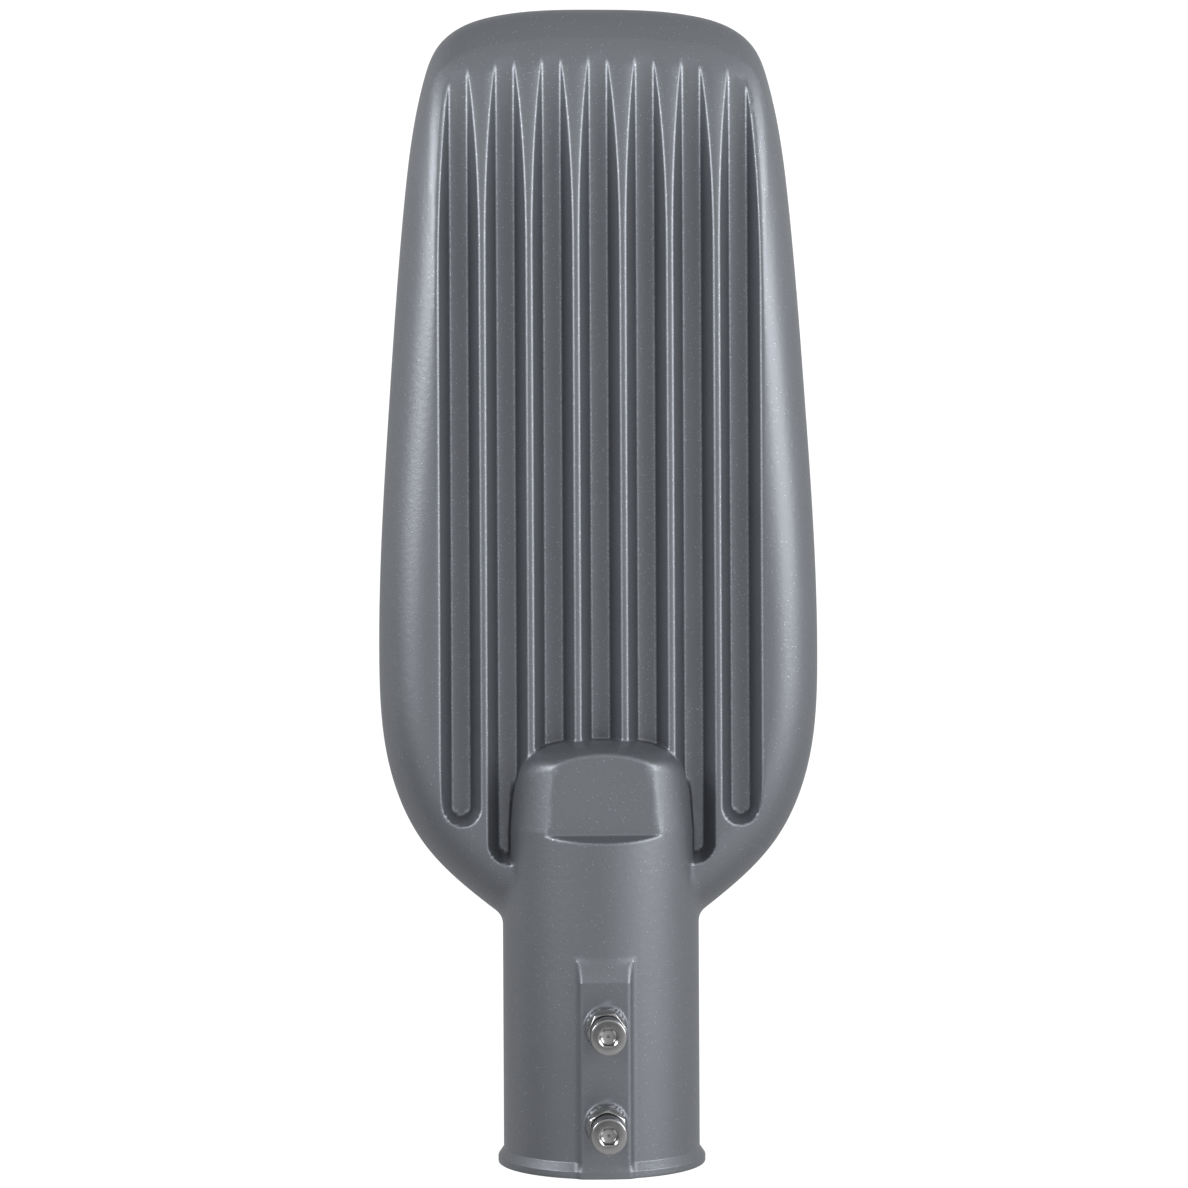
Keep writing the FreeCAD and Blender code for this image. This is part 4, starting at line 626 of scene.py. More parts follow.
class Casting:
    """The outside of the casting, joined and trimmed from its faces."""

    def __init__(self, shares, sizes):
        self.shares, self.rounding = shares, sizes.edge_rounding
        self.tube_fillet, self.hump_fillet = sizes.tube_fillet, sizes.hump_fillet

    def body(self, x, y, z):
        """The head without its grooves: rounded above the parting line, drafted below it."""
        share = self.shares.share(x, y)
        slope = self.shares.slope(x, y)
        lift = (z - PARTING) / (TOP - PARTING)
        inset = np.maximum(1 - share, 0)
        reach = np.sqrt(inset**2 + np.maximum(lift, 0)**2) + 1e-9
        steep = np.sqrt((inset * slope)**2 + (np.maximum(lift, 0) / (TOP - PARTING))**2) / reach
        dome = (reach - 1) / np.maximum(steep, 1e-6)
        band = np.clip(share / CREASE, 0, 1)
        fall = CREASE_FALL * np.clip((y - CREASE_START) / CREASE_RUN, 0, 1) * 4 * band * (1 - band)
        skirt = DRAFT * (PARTING - z) / (PARTING - RIM) - share / slope
        return np.maximum(np.where(lift > 0, dome + fall, skirt), BELOW_RIM - z)

    def groove_faces(self, x, y, z):
        """Floors and walls of the grooves."""
        number = np.clip(np.round(x / GROOVE_PITCH), -3, 3)
        end = np.where(np.abs(number) > 2.5, SIDE_GROOVE_END, GROOVE_END)
        away = np.hypot(x - number * GROOVE_PITCH, np.maximum(end - y, 0))
        depth = TOP - GROOVE_FLOOR
        wall = math.hypot(depth, GROOVE_SPREAD)
        side = ((z - GROOVE_FLOOR) * GROOVE_SPREAD - (away - GROOVE_HALF) * depth) / wall
        return z - GROOVE_FLOOR, side

    def tube_faces(self, x, y, z):
        """Outside of the tube and hump, and the flat with its ledge."""
        upright = np.clip((y - HUMP_START) / HUMP_FADE, 0, 1) * np.maximum(SEAM - z, 0) * (z > 0) * UPRIGHT
        far = np.hypot(x, z + upright)
        taper = np.clip((y - RIM_LAND) / RIM_TAPER, 0, 1)
        narrowing = NARROWING * np.maximum(y - NECK, 0) / (SHOULDER - NECK)
        side = far - (TUBE_RIM + (TUBE - TUBE_RIM) * taper) + narrowing
        bow = (NOSE - SHOULDER) * (far / (TUBE - NARROWING))**NOSE_POWER
        lean = NOSE_POWER * bow / np.maximum(far, 1.0)
        front = (y - NOSE + bow) / np.sqrt(1 + lean**2)
        rise = TUBE - FACET
        ledge = ((y - FACET_START) * rise + (z - FACET) * LEDGE) / math.hypot(rise, LEDGE)
        corner = FLAT_EDGE + NOSE_ROUNDING * np.clip(1 - z / FACET, 0, 1)**1.5
        return trim(side, front, corner), join(z - FACET, ledge, LEDGE_FILLET)

    def tube(self, x, y, z):
        round_form, flat = self.tube_faces(x, y, z)
        return trim(round_form, flat, self.rounding)

    def pad_faces(self, x, y, z):
        """Sides and top of the clamp strip, with the ramp at its end."""
        slope = math.hypot(PAD_END - PAD_LENGTH, PAD_FALL)
        ramp = ((y - PAD_LENGTH) * PAD_FALL + (z - PAD_TOP) * (PAD_END - PAD_LENGTH)) / slope
        top = np.maximum(z - PAD_TOP, ramp)
        return np.maximum(np.abs(x) - PAD_HALF, y - PAD_END), top

    def pad(self, x, y, z):
        side, top = self.pad_faces(x, y, z)
        form = np.maximum(trim(side, top, PAD_ROUNDING), -z)
        for along in BOLTS:
            away = np.hypot(x, y - along)
            radius = BOSS_FOOT + (BOSS_TOP - BOSS_FOOT) * (z - PAD_TOP) / BOSS_HEIGHT
            boss = trim(away - radius, z - PAD_TOP - BOSS_HEIGHT, BOSS_ROUNDING)
            form = join(form, np.maximum(boss, BOSS_BOTTOM - z), BOSS_FILLET)
        return form

    def form(self, x, y, z):
        floor, wall = self.groove_faces(x, y, z)
        head = trim(self.body(x, y, z), join(floor, wall, self.rounding), self.rounding)
        socket = join(self.tube(x, y, z), self.pad(x, y, z), PAD_FILLET)
        share = np.clip((y - FILLET_START) / FILLET_RUN, 0, 1)
        return join(head, socket, self.tube_fillet + (self.hump_fillet - self.tube_fillet) * share)

    def edges(self, x, y, z):
        """Mask of the painted edge highlights: 1 on the cast edges and on a line along the hump's side at
        the seam level, 0 away from them.
        """
        body = self.body(x, y, z)
        floor, wall = self.groove_faces(x, y, z)
        round_form, flat = self.tube_faces(x, y, z)
        side, top = self.pad_faces(x, y, z)
        on_flat = (np.abs(round_form) < 0.7) & (y < SHOULDER - 1)
        on_seam = (y > 120) & (np.abs(x) > 27) & (z < SEAM + 2)
        near = np.zeros_like(x)
        # Pairs of faces whose meeting line gets a painted bright line, with its width, strength and where
        # it counts.
        for first, second, width, weight, counts in (
            (body, wall, 0.8, 0.8, floor > 0.8), (floor, wall, 0.9, 1.0, body < -0.5),
            (round_form, flat, 0.6, 0.7, on_flat), (round_form, SEAM - z, 0.6, 0.55, on_seam),
            (side, top, 0.5, 0.25, np.abs(top) < 0.6),
        ):
            close = 1 - np.maximum(np.abs(first - second), np.abs(first) * 0.6) / width
            near = np.maximum(near, np.where(counts, np.clip(close, 0, 1) * weight, 0))
        return near


# Rays that meet the casting from inside, in mm. In each row they stand upright over the columns, fan out
# round a pivot, run down the skirt and point down below. The columns lean with the groove walls from
# LEAN_ROW and close in on the tip from TIP_ROW.
PIVOT_ROWS, PIVOT_PLACES = (88, 96, 104, 112, 120, 127), (20, 30, 42, 50, 57, 64)
PIVOT_OUT, PIVOT_INSET = 64.0, 5.0
FIXED_ROWS, FIXED_PLACES, FIXED_COLUMNS = (88, 112), (8, 43.45), 56.9
LEAN_ROW, TIP_ROW, TIP_COUNT, HEAD_ROWS, TAIL_WIDE = 330.0, 414.0, 34, 300.0, 43.0
FAN_UPPER, FAN_SKIRT, FAN_LOWER, CORE_LOWER, SKIRT_START = 22, 8, 7, 7, 8.0
HUMP_LEVELS = ((15.8, 33.3), (14.3, 33.7), (11.0, 34.1), (8.2, 34.5))
NOSE_ROWS, NOSE_SHARES = (138, 143, 153, 158, 160.5, 195), (0, 0.09, 0.88, 1, 1, 0)
NOSE_ROW, LARGEST_SHIFT, HALVINGS = 159.0, 9.0, 26
KEPT_EDGE, SLANT_EDGE, LEAST_SLANT = 0.5, 0.3, 0.12
SKIRT_END, FLAT_BELOW = RIM - 0.04, RIM + 0.04


def spaced(low, high, step):
    count = max(2, int(round((high - low) / step)) + 1)
    return list(np.linspace(low, high, count))


def section_rows():
    """Places of the rows along the head, in mm: close together where the form bends."""
    rows = [0.0, 0.03, 0.12, 0.4, 1.2, 2.4, 2.8, 3.6, 4.6, 5.4, 5.8, 7.0, 9.0, 11.0]
    rows += spaced(12.0, 28.2, 0.8) + spaced(30.0, 46.0, 3.2) + spaced(47.4, 63.6, 0.8)
    rows += spaced(66.0, 71.0, 2.5) + [71.4, 71.7, 72.0] + spaced(73.0, 77.8, 1.2) + [78.4, 78.8]
    rows += spaced(79.8, 112.0, 0.9) + spaced(112.5, 139.5, 0.5) + spaced(140.3, 157.1, 0.8)
    rows += [157.6, 158.0, 158.4, 158.75, 159.05, 159.35, 159.7, 160.1, 160.7, 161.5, 162.6]
    rows += spaced(165.0, 357.0, 4.0) + spaced(360.0, TIP_ROW, 1.2)
    tip = HEAD_END - TIP_ROW - 1.0
    rows += [HEAD_END - tip * (1 - step / TIP_COUNT)**2 for step in range(TIP_COUNT)]
    return np.array(rows)


def core_columns():
    """Places of the upright rays: close together at the edges of the grooves."""
    edges = [GROOVE_HALF + step for step in (-0.75, -0.3, 0.05, 0.45)]
    edges += [GROOVE_HALF + 0.3 * GROOVE_SPREAD + 0.2, GROOVE_HALF + 0.65 * GROOVE_SPREAD]
    edges += [GROOVE_HALF + GROOVE_SPREAD + step for step in (-0.5, -0.1, 0.3, 0.75)]
    middles = [number * GROOVE_PITCH for number in range(4)]
    columns = [middle + side * edge for middle in middles for side in (-1, 1) for edge in edges]
    columns = [0.0] + [place for place in columns if place > 0.3]
    for middle in middles[1:]:
        columns += [middle, middle - GROOVE_PITCH / 2]
    return sorted(columns + [middles[-1] + 9.3, middles[-1] + 10.4])


def border(inside, low, high):
    """Where a form that is inside at the low places ends, by halving."""
    for _ in range(HALVINGS):
        middle = (low + high) / 2
        within = inside(middle)
        low, high = np.where(within, middle, low), np.where(within, high, middle)
    return low


def nearness(rows):
    """How much of the nose's shift each row takes."""
    return np.interp(rows, NOSE_ROWS, NOSE_SHARES)


def hump_places(casting, rows, level, rest):
    """Across, where the hump's side stands at a level of each row; it ends at rest, past the hump."""
    held = np.minimum(rows - LARGEST_SHIFT * nearness(rows), SHOULDER - 0.5)
    level = np.full_like(rows, level)
    side = border(lambda x: casting.tube(x, held, level) < 0, rows * 0, rows * 0 + 40)
    back = np.clip((rows - SHOULDER - 9) / 30, 0, 1)
    blended = side * (1 - back) + rest * back
    return np.where(rows < NECK - 10, side[np.searchsorted(rows, NECK - 10)], blended)


def nose_shift(casting, x):
    """How far back the hump's nose stands at each place across."""
    x = np.abs(x)
    level, low, high = np.full_like(x, FOOT), np.full_like(x, 130.0), np.full_like(x, 165.0)
    ends = border(lambda y: casting.tube(x, y, level) < 0, low, high)
    front = border(lambda y: casting.tube(x * 0, y, level) < 0, low, high)
    fade = np.clip((52 - x) / 20, 0, 1)
    return np.minimum(front - ends, LARGEST_SHIFT) * fade**2 * (3 - 2 * fade)


def pivot_at(y, width, nose_width):
    """Where the rays fan out in a row, how far out its columns stay put, and its scale."""
    if y > TIP_ROW:
        return nose_width - PIVOT_INSET, FIXED_COLUMNS, width / nose_width
    if y > PIVOT_ROWS[-1]:
        return min(PIVOT_OUT, width - PIVOT_INSET), FIXED_COLUMNS, 1.0
    return np.interp(y, PIVOT_ROWS, PIVOT_PLACES), np.interp(y, FIXED_ROWS, FIXED_PLACES), 1.0


def row_rays(tops, y, width, nose_width):
    """Starts and directions of a row's rays, from the middle of the top round to the middle below."""
    pivot, fixed, scale = pivot_at(y, width, nose_width)
    outer = fixed + (tops - fixed) * (pivot - fixed) / (PIVOT_OUT - fixed)
    core = np.where(tops > fixed, outer, tops) * scale
    centre = pivot * scale
    reach = width if y > TIP_ROW else max(width, TUBE)
    upper = np.radians(np.linspace(90, 0, FAN_UPPER + 1))[:-1]
    levels = np.linspace(PARTING, BELOW_RIM, FAN_SKIRT + 1)
    inset = DRAFT * (PARTING - levels) / (PARTING - RIM) * min(1.0, max(width, 0.01) / 30)
    skirt = np.arctan2(levels - PARTING, np.maximum(reach - inset - centre, 0.001))
    lower = np.linspace(skirt[-1], math.radians(-90), FAN_LOWER + 1)[1:]
    angles = np.concatenate([upper, skirt, lower])
    under = np.linspace(centre, 0, CORE_LOWER + 1)[1:]
    across = np.concatenate([core, np.full(len(angles), centre), under])
    start = np.stack([across, np.full(len(across), y), np.full(len(across), PARTING)], 1)
    way = np.zeros_like(start)
    fan = slice(len(core), len(core) + len(angles))
    way[:fan.start, 2] = 1
    way[fan, 0], way[fan, 2] = np.cos(angles), np.sin(angles)
    way[fan.stop:, 2] = -1
    return start, way


def square_to_outline(start, way, edge, inward, last):
    """Turn a row's skirt rays level and square to the outline and lay its lower points at the rim."""
    flat = len(start) - CORE_LOWER - FAN_LOWER
    first = flat - FAN_SKIRT - 1
    foot = edge + inward * DRAFT
    start[first:flat, :2] = edge + inward * SKIRT_START
    start[first:flat, 2] = np.linspace(PARTING, SKIRT_END, flat - first)
    way[first:flat] = (-inward[0], -inward[1], 0)
    start[flat:, 0] = np.linspace(foot[0], 0, len(start) - flat)
    start[flat:, 1:] = foot[1], BELOW_RIM
    way[flat:] = 0
    if not last:
        start[flat:flat + FAN_LOWER, :2] = foot + inward


def build_outside(casting):
    """Rows from the mouth to the head end, and the points of each over the right half of the outside."""
    rows = section_rows()
    shares = casting.shares
    widths = shares.half_width(rows)
    nose_width = shares.half_width(TIP_ROW)
    columns = core_columns()
    hump_side = np.stack([hump_places(casting, rows, level, rest) for level, rest in HUMP_LEVELS], 1)
    edges = np.stack([widths, rows], 1)
    inward = shares.inward(widths, rows)
    starts, ways = [], []
    for row, (y, width) in enumerate(zip(rows, widths)):
        tops = np.sort(np.concatenate([columns, hump_side[row]]))
        if y > LEAN_ROW:
            tops = slanted(tops, y, shares)
        start, way = row_rays(tops, y, width, nose_width)
        if y > HEAD_ROWS or width > TAIL_WIDE:
            square_to_outline(start, way, edges[row], inward[row], row == len(rows) - 1)
        starts.append(start)
        ways.append(way)
    starts, ways = np.array(starts), np.array(ways)
    nose = starts[np.searchsorted(rows, NOSE_ROW), :, 0]
    upright = ways[..., 2] == 1
    starts[..., 1] -= nose_shift(casting, nose)[None, :] * nearness(rows)[:, None] * upright
    none = np.zeros(upright.shape)

    def inside(reach):
        return casting.form(*np.moveaxis(starts + ways * reach[..., None], 2, 0)) <= 0

    return rows, starts + ways * border(inside, none, none + 100)[..., None]


def slanted(columns, y, shares):
    """Columns of a row that follow the upper edge of the groove walls where the head falls away."""
    moved = columns.copy()
    for at, place in enumerate(columns):
        number = min(3, round(place / GROOVE_PITCH))
        away = place - number * GROOVE_PITCH
        if abs(away) < GROOVE_HALF + KEPT_EDGE:
            continue
        share = min(1.0, float(shares.share(np.array([place]), np.array([y]))[0]))
        level = PARTING + (TOP - PARTING) * math.sqrt(max(0.0, 1 - (1 - share)**2))
        part = min(1.0, max(LEAST_SLANT, (level - GROOVE_FLOOR) / (TOP - GROOVE_FLOOR)))
        past = abs(away) - GROOVE_HALF - KEPT_EDGE
        edge = GROOVE_SPREAD + SLANT_EDGE
        if past > edge:
            room = PIVOT_OUT - 3 * GROOVE_PITCH if number == 3 and away > 0 else GROOVE_PITCH / 2
            room -= GROOVE_HALF + KEPT_EDGE
            past = room - (room - past) * (room - edge * part) / (room - edge)
        else:
            past *= part
        moved[at] = number * GROOVE_PITCH + math.copysign(GROOVE_HALF + KEPT_EDGE + past, away)
    return np.maximum.accumulate(moved)


def mesh_from(name, points, faces):
    mesh = bpy.data.meshes.new(name)
    mesh.from_pydata([tuple(point) for point in points], [], faces)
    mesh.validate()
    mesh.update()
    return mesh


LEAD_IN, MOUTH_EDGE, OPEN_FROM = 32.3, 0.4, TAIL_END + DRAFT - 0.1


def outside_mesh(casting):
    """The casting's outer faces with the mask of their painted edge highlights; the rim is open where the
    CAD's faces fill it.
    """
    rows, right = build_outside(casting)
    rings = np.concatenate([right, right[:, -2:0:-1] * (-1, 1, 1)], axis=1)
    around = rings.shape[1]
    turn = np.arctan2(rings[0, :, 0], rings[0, :, 2])
    circle = np.stack([np.sin(turn), turn * 0, np.cos(turn)], 1)
    points = np.concatenate([LEAD_IN * circle, (TUBE_RIM - MOUTH_EDGE) * circle, *rings[1:]])
    for row in (1, 2):
        inset = MOUTH_EDGE - math.sqrt(MOUTH_EDGE**2 - (MOUTH_EDGE - rows[row])**2)
        narrower = (TUBE_RIM - inset) / TUBE_RIM
        points[(row + 1) * around:(row + 2) * around] *= (narrower, 1, narrower)
    faces = []
    level, along = points[:, 2], points[:, 1]
    total = len(points) // around
    strip = right.shape[1] - CORE_LOWER - FAN_LOWER
    for row in range(total - 1):
        for column in range(around):
            beside = (column + 1) % around
            a, b = row * around + column, row * around + beside
            c, d = b + around, a + around
            flat = max(level[a], level[b], level[c], level[d]) < FLAT_BELOW
            edge = column == strip - 1 or column == around - strip
            if flat and along[a] > OPEN_FROM and not edge:
                continue
            faces.append((a, b, c, d))
    pole = len(points)
    points = np.concatenate([points, [[0.0, HEAD_END, PARTING]]])
    last = (total - 1) * around
    for column in range(around):
        faces.append((last + column, last + (column + 1) % around, pole))
    mesh = mesh_from("casting_outside", points * MM, faces)
    # The edge attribute is the mask of the painted edge highlights that the coat's shader reads.
    marks = mesh.attributes.new("edge", "FLOAT", "POINT")
    marks.data.foreach_set("value", casting.edges(*points.T).astype(np.float32))
    return mesh


@contextmanager
def reworked(mesh):
    """Open a mesh for changes and put them into it at the end."""
    work = bmesh.new()
    work.from_mesh(mesh)
    yield work
    work.to_mesh(mesh)
    work.free()


def copied_cad(name):
    """A copy of a CAD node with its loose triangles joined."""
    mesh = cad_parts[name].data.copy()
    with reworked(mesh) as work:
        bmesh.ops.remove_doubles(work, verts=work.verts, dist=2e-6)
    return mesh


SQUARE_ON, INNER_DEPTH = -0.9, -0.6


def inside_mesh(casting):
    """The casting's inner faces as the CAD node has them."""
    mesh = copied_cad("housing")
    with reworked(mesh) as work:
        centres = np.array([face.calc_center_median() for face in work.faces]) / MM
        gone = []
        for face, centre, depth in zip(work.faces, centres, casting.form(*centres.T)):
            rim_face = face.normal.z < SQUARE_ON and abs(centre[2] - RIM) < 0.06
            mouth_face = face.normal.y < SQUARE_ON and centre[1] < 0.05
            if mouth_face or depth > INNER_DEPTH and not rim_face:
                gone.append(face)
        bmesh.ops.delete(work, geom=gone, context="FACES")
    return mesh


def linked(name, mesh):
    piece = bpy.data.objects.new(name, mesh)
    bpy.context.scene.collection.objects.link(piece)
    return piece


def smooth(mesh, angle=32.0):
    mesh.shade_smooth()
    mesh.set_sharp_from_angle(angle=math.radians(angle))


def merged(name, meshes):
    work = bmesh.new()
    for mesh in meshes:
        work.from_mesh(mesh)
    mesh = bpy.data.meshes.new(name)
    work.to_mesh(mesh)
    work.free()
    return mesh


PROBE, MOUTH_ROWS, ABOVE_RIM, AGREEMENT = 0.02, 1.3, RIM + 0.15, 0.25


def follow_form(mesh, casting, count):
    """Shade the mesh's first points by the slope of the casting's form, which its facets only approach.

    Faces that turn too far from that slope, as at the rim, stay flat.
    """
    places = np.empty(len(mesh.vertices) * 3)
    mesh.vertices.foreach_get("co", places)
    places = places.reshape(-1, 3)[:count] / MM
    raised = np.maximum(places[:, 2], ABOVE_RIM)
    places[:, 2] = np.where(places[:, 1] > TAIL_END, raised, places[:, 2])
    slopes = []
    for axis in range(3):
        ahead, behind = places.copy(), places.copy()
        ahead[:, axis] += PROBE
        behind[:, axis] -= PROBE
        slopes.append(casting.form(*ahead.T) - casting.form(*behind.T))
    slopes = np.stack(slopes, 1)
    steep = np.linalg.norm(slopes, axis=1)
    slopes /= np.maximum(steep, 1e-9)[:, None]
    known = (steep > PROBE * 0.2) & (places[:, 1] > MOUTH_ROWS)
    corners = np.empty(len(mesh.loops) * 3)
    mesh.corner_normals.foreach_get("vector", corners)
    corners = corners.reshape(-1, 3)
    index = np.empty(len(mesh.loops), int)
    mesh.loops.foreach_get("vertex_index", index)
    own = index < count
    own[own] = known[index[own]]
    facing = np.empty(len(mesh.polygons) * 3)
    mesh.polygon_normals.foreach_get("vector", facing)
    sides = np.empty(len(mesh.polygons), int)
    mesh.polygons.foreach_get("loop_total", sides)
    facing = np.repeat(facing.reshape(-1, 3), sides, axis=0)
    smooth_here = slopes[np.where(own, index, 0)]
    agrees = (facing * smooth_here).sum(axis=1, keepdims=True) > AGREEMENT
    corners[own] = np.where(agrees, smooth_here, facing)[own]
    mesh.normals_split_custom_set(corners.tolist())


def settle(piece, material, *nodes):
    """The piece takes its finish, rides on the head and stands for its CAD nodes."""
    piece.data.materials.clear()
    piece.data.materials.append(finishes[material])
    for face in piece.data.polygons:
        face.material_index = 0
    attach(piece, "root")
    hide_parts(*nodes)


def take_modifiers(piece):
    """Turn what the piece's modifiers make into its plain mesh."""
    made = bpy.data.meshes.new_from_object(piece.evaluated_get(bpy.context.evaluated_depsgraph_get()))
    piece.modifiers.clear()
    piece.data = made


def dressed(node, material, bevel):
    """A CAD node with its facets joined, its edges softened by bevel mm, and its finish."""
    mesh = copied_cad(node)
    with reworked(mesh) as work:
        bmesh.ops.dissolve_limit(
            work, angle_limit=math.radians(0.2), verts=work.verts, edges=work.edges, delimit={"NORMAL"})
    piece = linked(node + "_made", mesh)
    if bevel:
        softened = piece.modifiers.new("edges", "BEVEL")
        softened.width = bevel * MM
        softened.segments = 2
        softened.limit_method = "ANGLE"
        softened.angle_limit = math.radians(38)
        softened.use_clamp_overlap = True
        take_modifiers(piece)
    smooth(piece.data)
    shading = piece.modifiers.new("shading", "WEIGHTED_NORMAL")
    shading.keep_sharp = True
    take_modifiers(piece)
    settle(piece, material, node)


def dress_all(rows):
    for node, material, bevel in rows:
        dressed(node, material, bevel)


def solids_of(node):
    """Corners, in mm, of the box round each separate solid of a CAD node."""
    mesh = copied_cad(node)
    work = bmesh.new()
    work.from_mesh(mesh)
    left = set(work.verts)
    boxes = []
    while left:
        edge = [left.pop()]
        island = list(edge)
        while edge:
            fresh = {link.other_vert(vert) for vert in edge for link in vert.link_edges} & left
            left -= fresh
            edge = list(fresh)
            island += edge
        places = np.array([vert.co for vert in island]) / MM
        boxes.append((places.min(axis=0), places.max(axis=0)))
    work.free()
    return sorted(boxes, key=lambda box: (round(box[0][0], 1), round(box[0][1], 1)))


# Profiles of the fasteners, in mm: radius and depth from the outer face of the head. The shank's end
# moves with the length of the CAD solid.
def capped_profile(head, height, core, length):
    return [
        (0.0, 0.0), (head - 0.75, 0.0), (head - 0.3, 0.08), (head - 0.08, 0.25), (head, 0.55),
        (head, height - 0.3), (head - 0.3, height), (core, height), (core, length - 0.8),
        (core - 0.7, length), (0.0, length),
    ]


def sunk_profile(head, height, core, length):
    return [
        (0.0, 0.0), (head - 0.15, 0.0), (head, 0.12), (core, height), (core, length - 0.5),
        (core - 0.4, length), (0.0, length),
    ]


def domed_profile(head, height, core, length):
    points = [(0.0, 0.0)]
    for turn in (20, 40, 60, 80):
        angle = math.radians(turn)
        points.append((head * (0.45 + 0.55 * math.sin(angle)), height * 0.75 * (1 - math.cos(angle))))
    return points + [
        (head, height * 0.75), (head, height), (core, height), (core, length - 0.4), (core - 0.3, length),
        (0.0, length),
    ]


LATHE = 20.0
SCREW_SIZES = {
    # profile, head radius, head height, thread radius, pitch, recess radius, recess depth, recess mouth,
    # facets, greatest turn about its axis
    "M8": (capped_profile, 6.5, 8.0, 4.0, 1.25, 3.46, 3.9, 0.5, 36, 0.0),
    "M4": (sunk_profile, 4.0, 2.3, 2.0, 0.7, 1.7, 1.3, 0.25, 24, math.tau),
    "M3": (domed_profile, 2.8, 1.9, 1.5, 0.5, 1.3, 1.0, 0.2, 24, math.tau),
}
FASTENERS = (
    ("clamp_bolts", "M8"), ("lamp_frame_screws", "M4"), ("gear_cover_screws", "M4"),
    ("glass_clip_screws", "M3"), ("board_screws", "M3"), ("driver_screws", "M3"),
    ("terminal_block_screws", "M3"), ("surge_arrester_screws", "M3"), ("earth_screw", "M3"),
)
HEAD_ON_TOP = ("clamp_bolts", "glass_clip_screws")


def turned_fasteners(tree, seed, node, size):
    """The screws of a CAD node, lathed and threaded anew at its places."""
    profile, head, height, thread, pitch, recess, depth, mouth, facets, turn_spread = SCREW_SIZES[size]
    on_top = node in HEAD_ON_TOP
    boxes = solids_of(node)
    length = float(boxes[0][1][2] - boxes[0][0][2])
    points = profile(head, height, thread - 0.5 * pitch, length)
    lathe = bpy.data.meshes.new("profile")
    lathe.from_pydata(
        [((radius - LATHE) * MM, -down * MM, 0.0) for radius, down in points],
        [(at, at + 1) for at in range(len(points) - 1)], [])
    outline = linked("profile", lathe)
    middles = [(low + high) / 2 * MM for low, high in boxes]
    levels = [(high if on_top else low)[2] * MM for low, high in boxes]
    mesh = bpy.data.meshes.new(node)
    mesh.from_pydata([(middle[0], middle[1], level) for middle, level in zip(middles, levels)], [], [])
    start = height + 0.4 * pitch
    piece = tree.grow(
        node + "_made", mesh, profile=outline, material=finishes["stainless"], facets=facets,
        reach=LATHE * MM, recess_sides=6, recess_radius=recess * MM, recess_depth=depth * MM,
        recess_mouth=mouth * MM, thread_radius=thread * MM, thread_pitch=pitch * MM,
        thread_start=start * MM, thread_turns=(length - 1.1 * pitch - start) / pitch,
        overturn=math.pi if on_top else 0.0, turn_spread=turn_spread, seed=seed)
    bpy.data.objects.remove(outline)
    smooth(piece.data, 30.0)
    settle(piece, "stainless", node)


# Operators

class STREETLIGHT_OT_finishes(Operator):
    """Make the finishes of every piece"""
    bl_idname = "streetlight.finishes"
    bl_label = "Finishes"

    def execute(self, context):
        make_finishes(context.scene.streetlight_colours)
        return {"FINISHED"}


class STREETLIGHT_OT_casting(Operator):
    """Build the cast housing with its grooves, hump and tube socket"""
    bl_idname = "streetlight.casting"
    bl_label = "Cast housing"

    def execute(self, context):
        sizes = context.scene.streetlight_casting
        casting = Casting(ShareMap(sizes.share_step), sizes)
        outside = outside_mesh(casting)
        outside.shade_smooth()
        inside = inside_mesh(casting)
        smooth(inside)
        piece = linked("housing_casting", merged("housing_casting", [outside, inside]))
        follow_form(piece.data, casting, len(outside.vertices))
        settle(piece, "coated_casting", "housing")
        return {"FINISHED"}


class STREETLIGHT_OT_fasteners(Operator):
    """Dress the bolts, nuts, washers and screws"""
    bl_idname = "streetlight.fasteners"
    bl_label = "Fasteners"

    def execute(self, context):
        tree = turned_pattern()
        for seed, row in enumerate(FASTENERS):
            turned_fasteners(tree, seed, *row)
        dress_all((("clamp_nuts", "stainless", 0.2), ("spring_washers", "stainless", 0.2)))
        return {"FINISHED"}


class STREETLIGHT_OT_underside(Operator):
    """Dress the frame, cover, glass, seals and clips of the underside"""
    bl_idname = "streetlight.underside"
    bl_label = "Underside"

    def execute(self, context):
        dress_all((
            ("lamp_frame", "coated_casting", 0.4), ("gear_cover", "coated_casting", 0.4),
            ("lamp_frame_seal", "seal_rubber", 0.2), ("gear_cover_seal", "seal_rubber", 0.2),
            ("glass_seal", "seal_rubber", 0.1), ("glass", "clear_glass", 0.3),
            ("glass_clips", "stainless", 0.1), ("pressure_vent", "vent_plastic", 0.2),
        ))
        return {"FINISHED"}


class STREETLIGHT_OT_light_engine(Operator):
    """Dress the LED board, lenses and reflector tray"""
    bl_idname = "streetlight.light_engine"
    bl_label = "Light engine"

    def execute(self, context):
        dress_all((
            ("thermal_pad", "thermal_sheet", 0), ("led_board", "led_board", 0.1),
            ("lens_plate", "lens_plastic", 0), ("light_tray", "tray_white", 0.2),
        ))
        boxes = np.array(solids_of("led_chips"))
        middles = boxes.mean(axis=1) * MM
        low, high = middles.min(axis=0), middles.max(axis=0)
        across = len(set(np.round(middles[:, 0], 5)))
        width, height = (boxes[0][1] - boxes[0][0])[[0, 2]] * MM
        piece = package_pattern().grow(
            "led_chips_made", bpy.data.meshes.new("led_chips"), material=finishes["led_package"],
            across=across, along=len(boxes) // across, span_across=float(high[0] - low[0]),
            span_along=float(high[1] - low[1]), middle_y=float(high[1] + low[1]) / 2,
            level=float(boxes[0][1][2] * MM), width=float(width), body=float(height * 0.6),
            lens=float(height * 0.4))
        smooth(piece.data)
        settle(piece, "led_package", "led_chips")
        return {"FINISHED"}


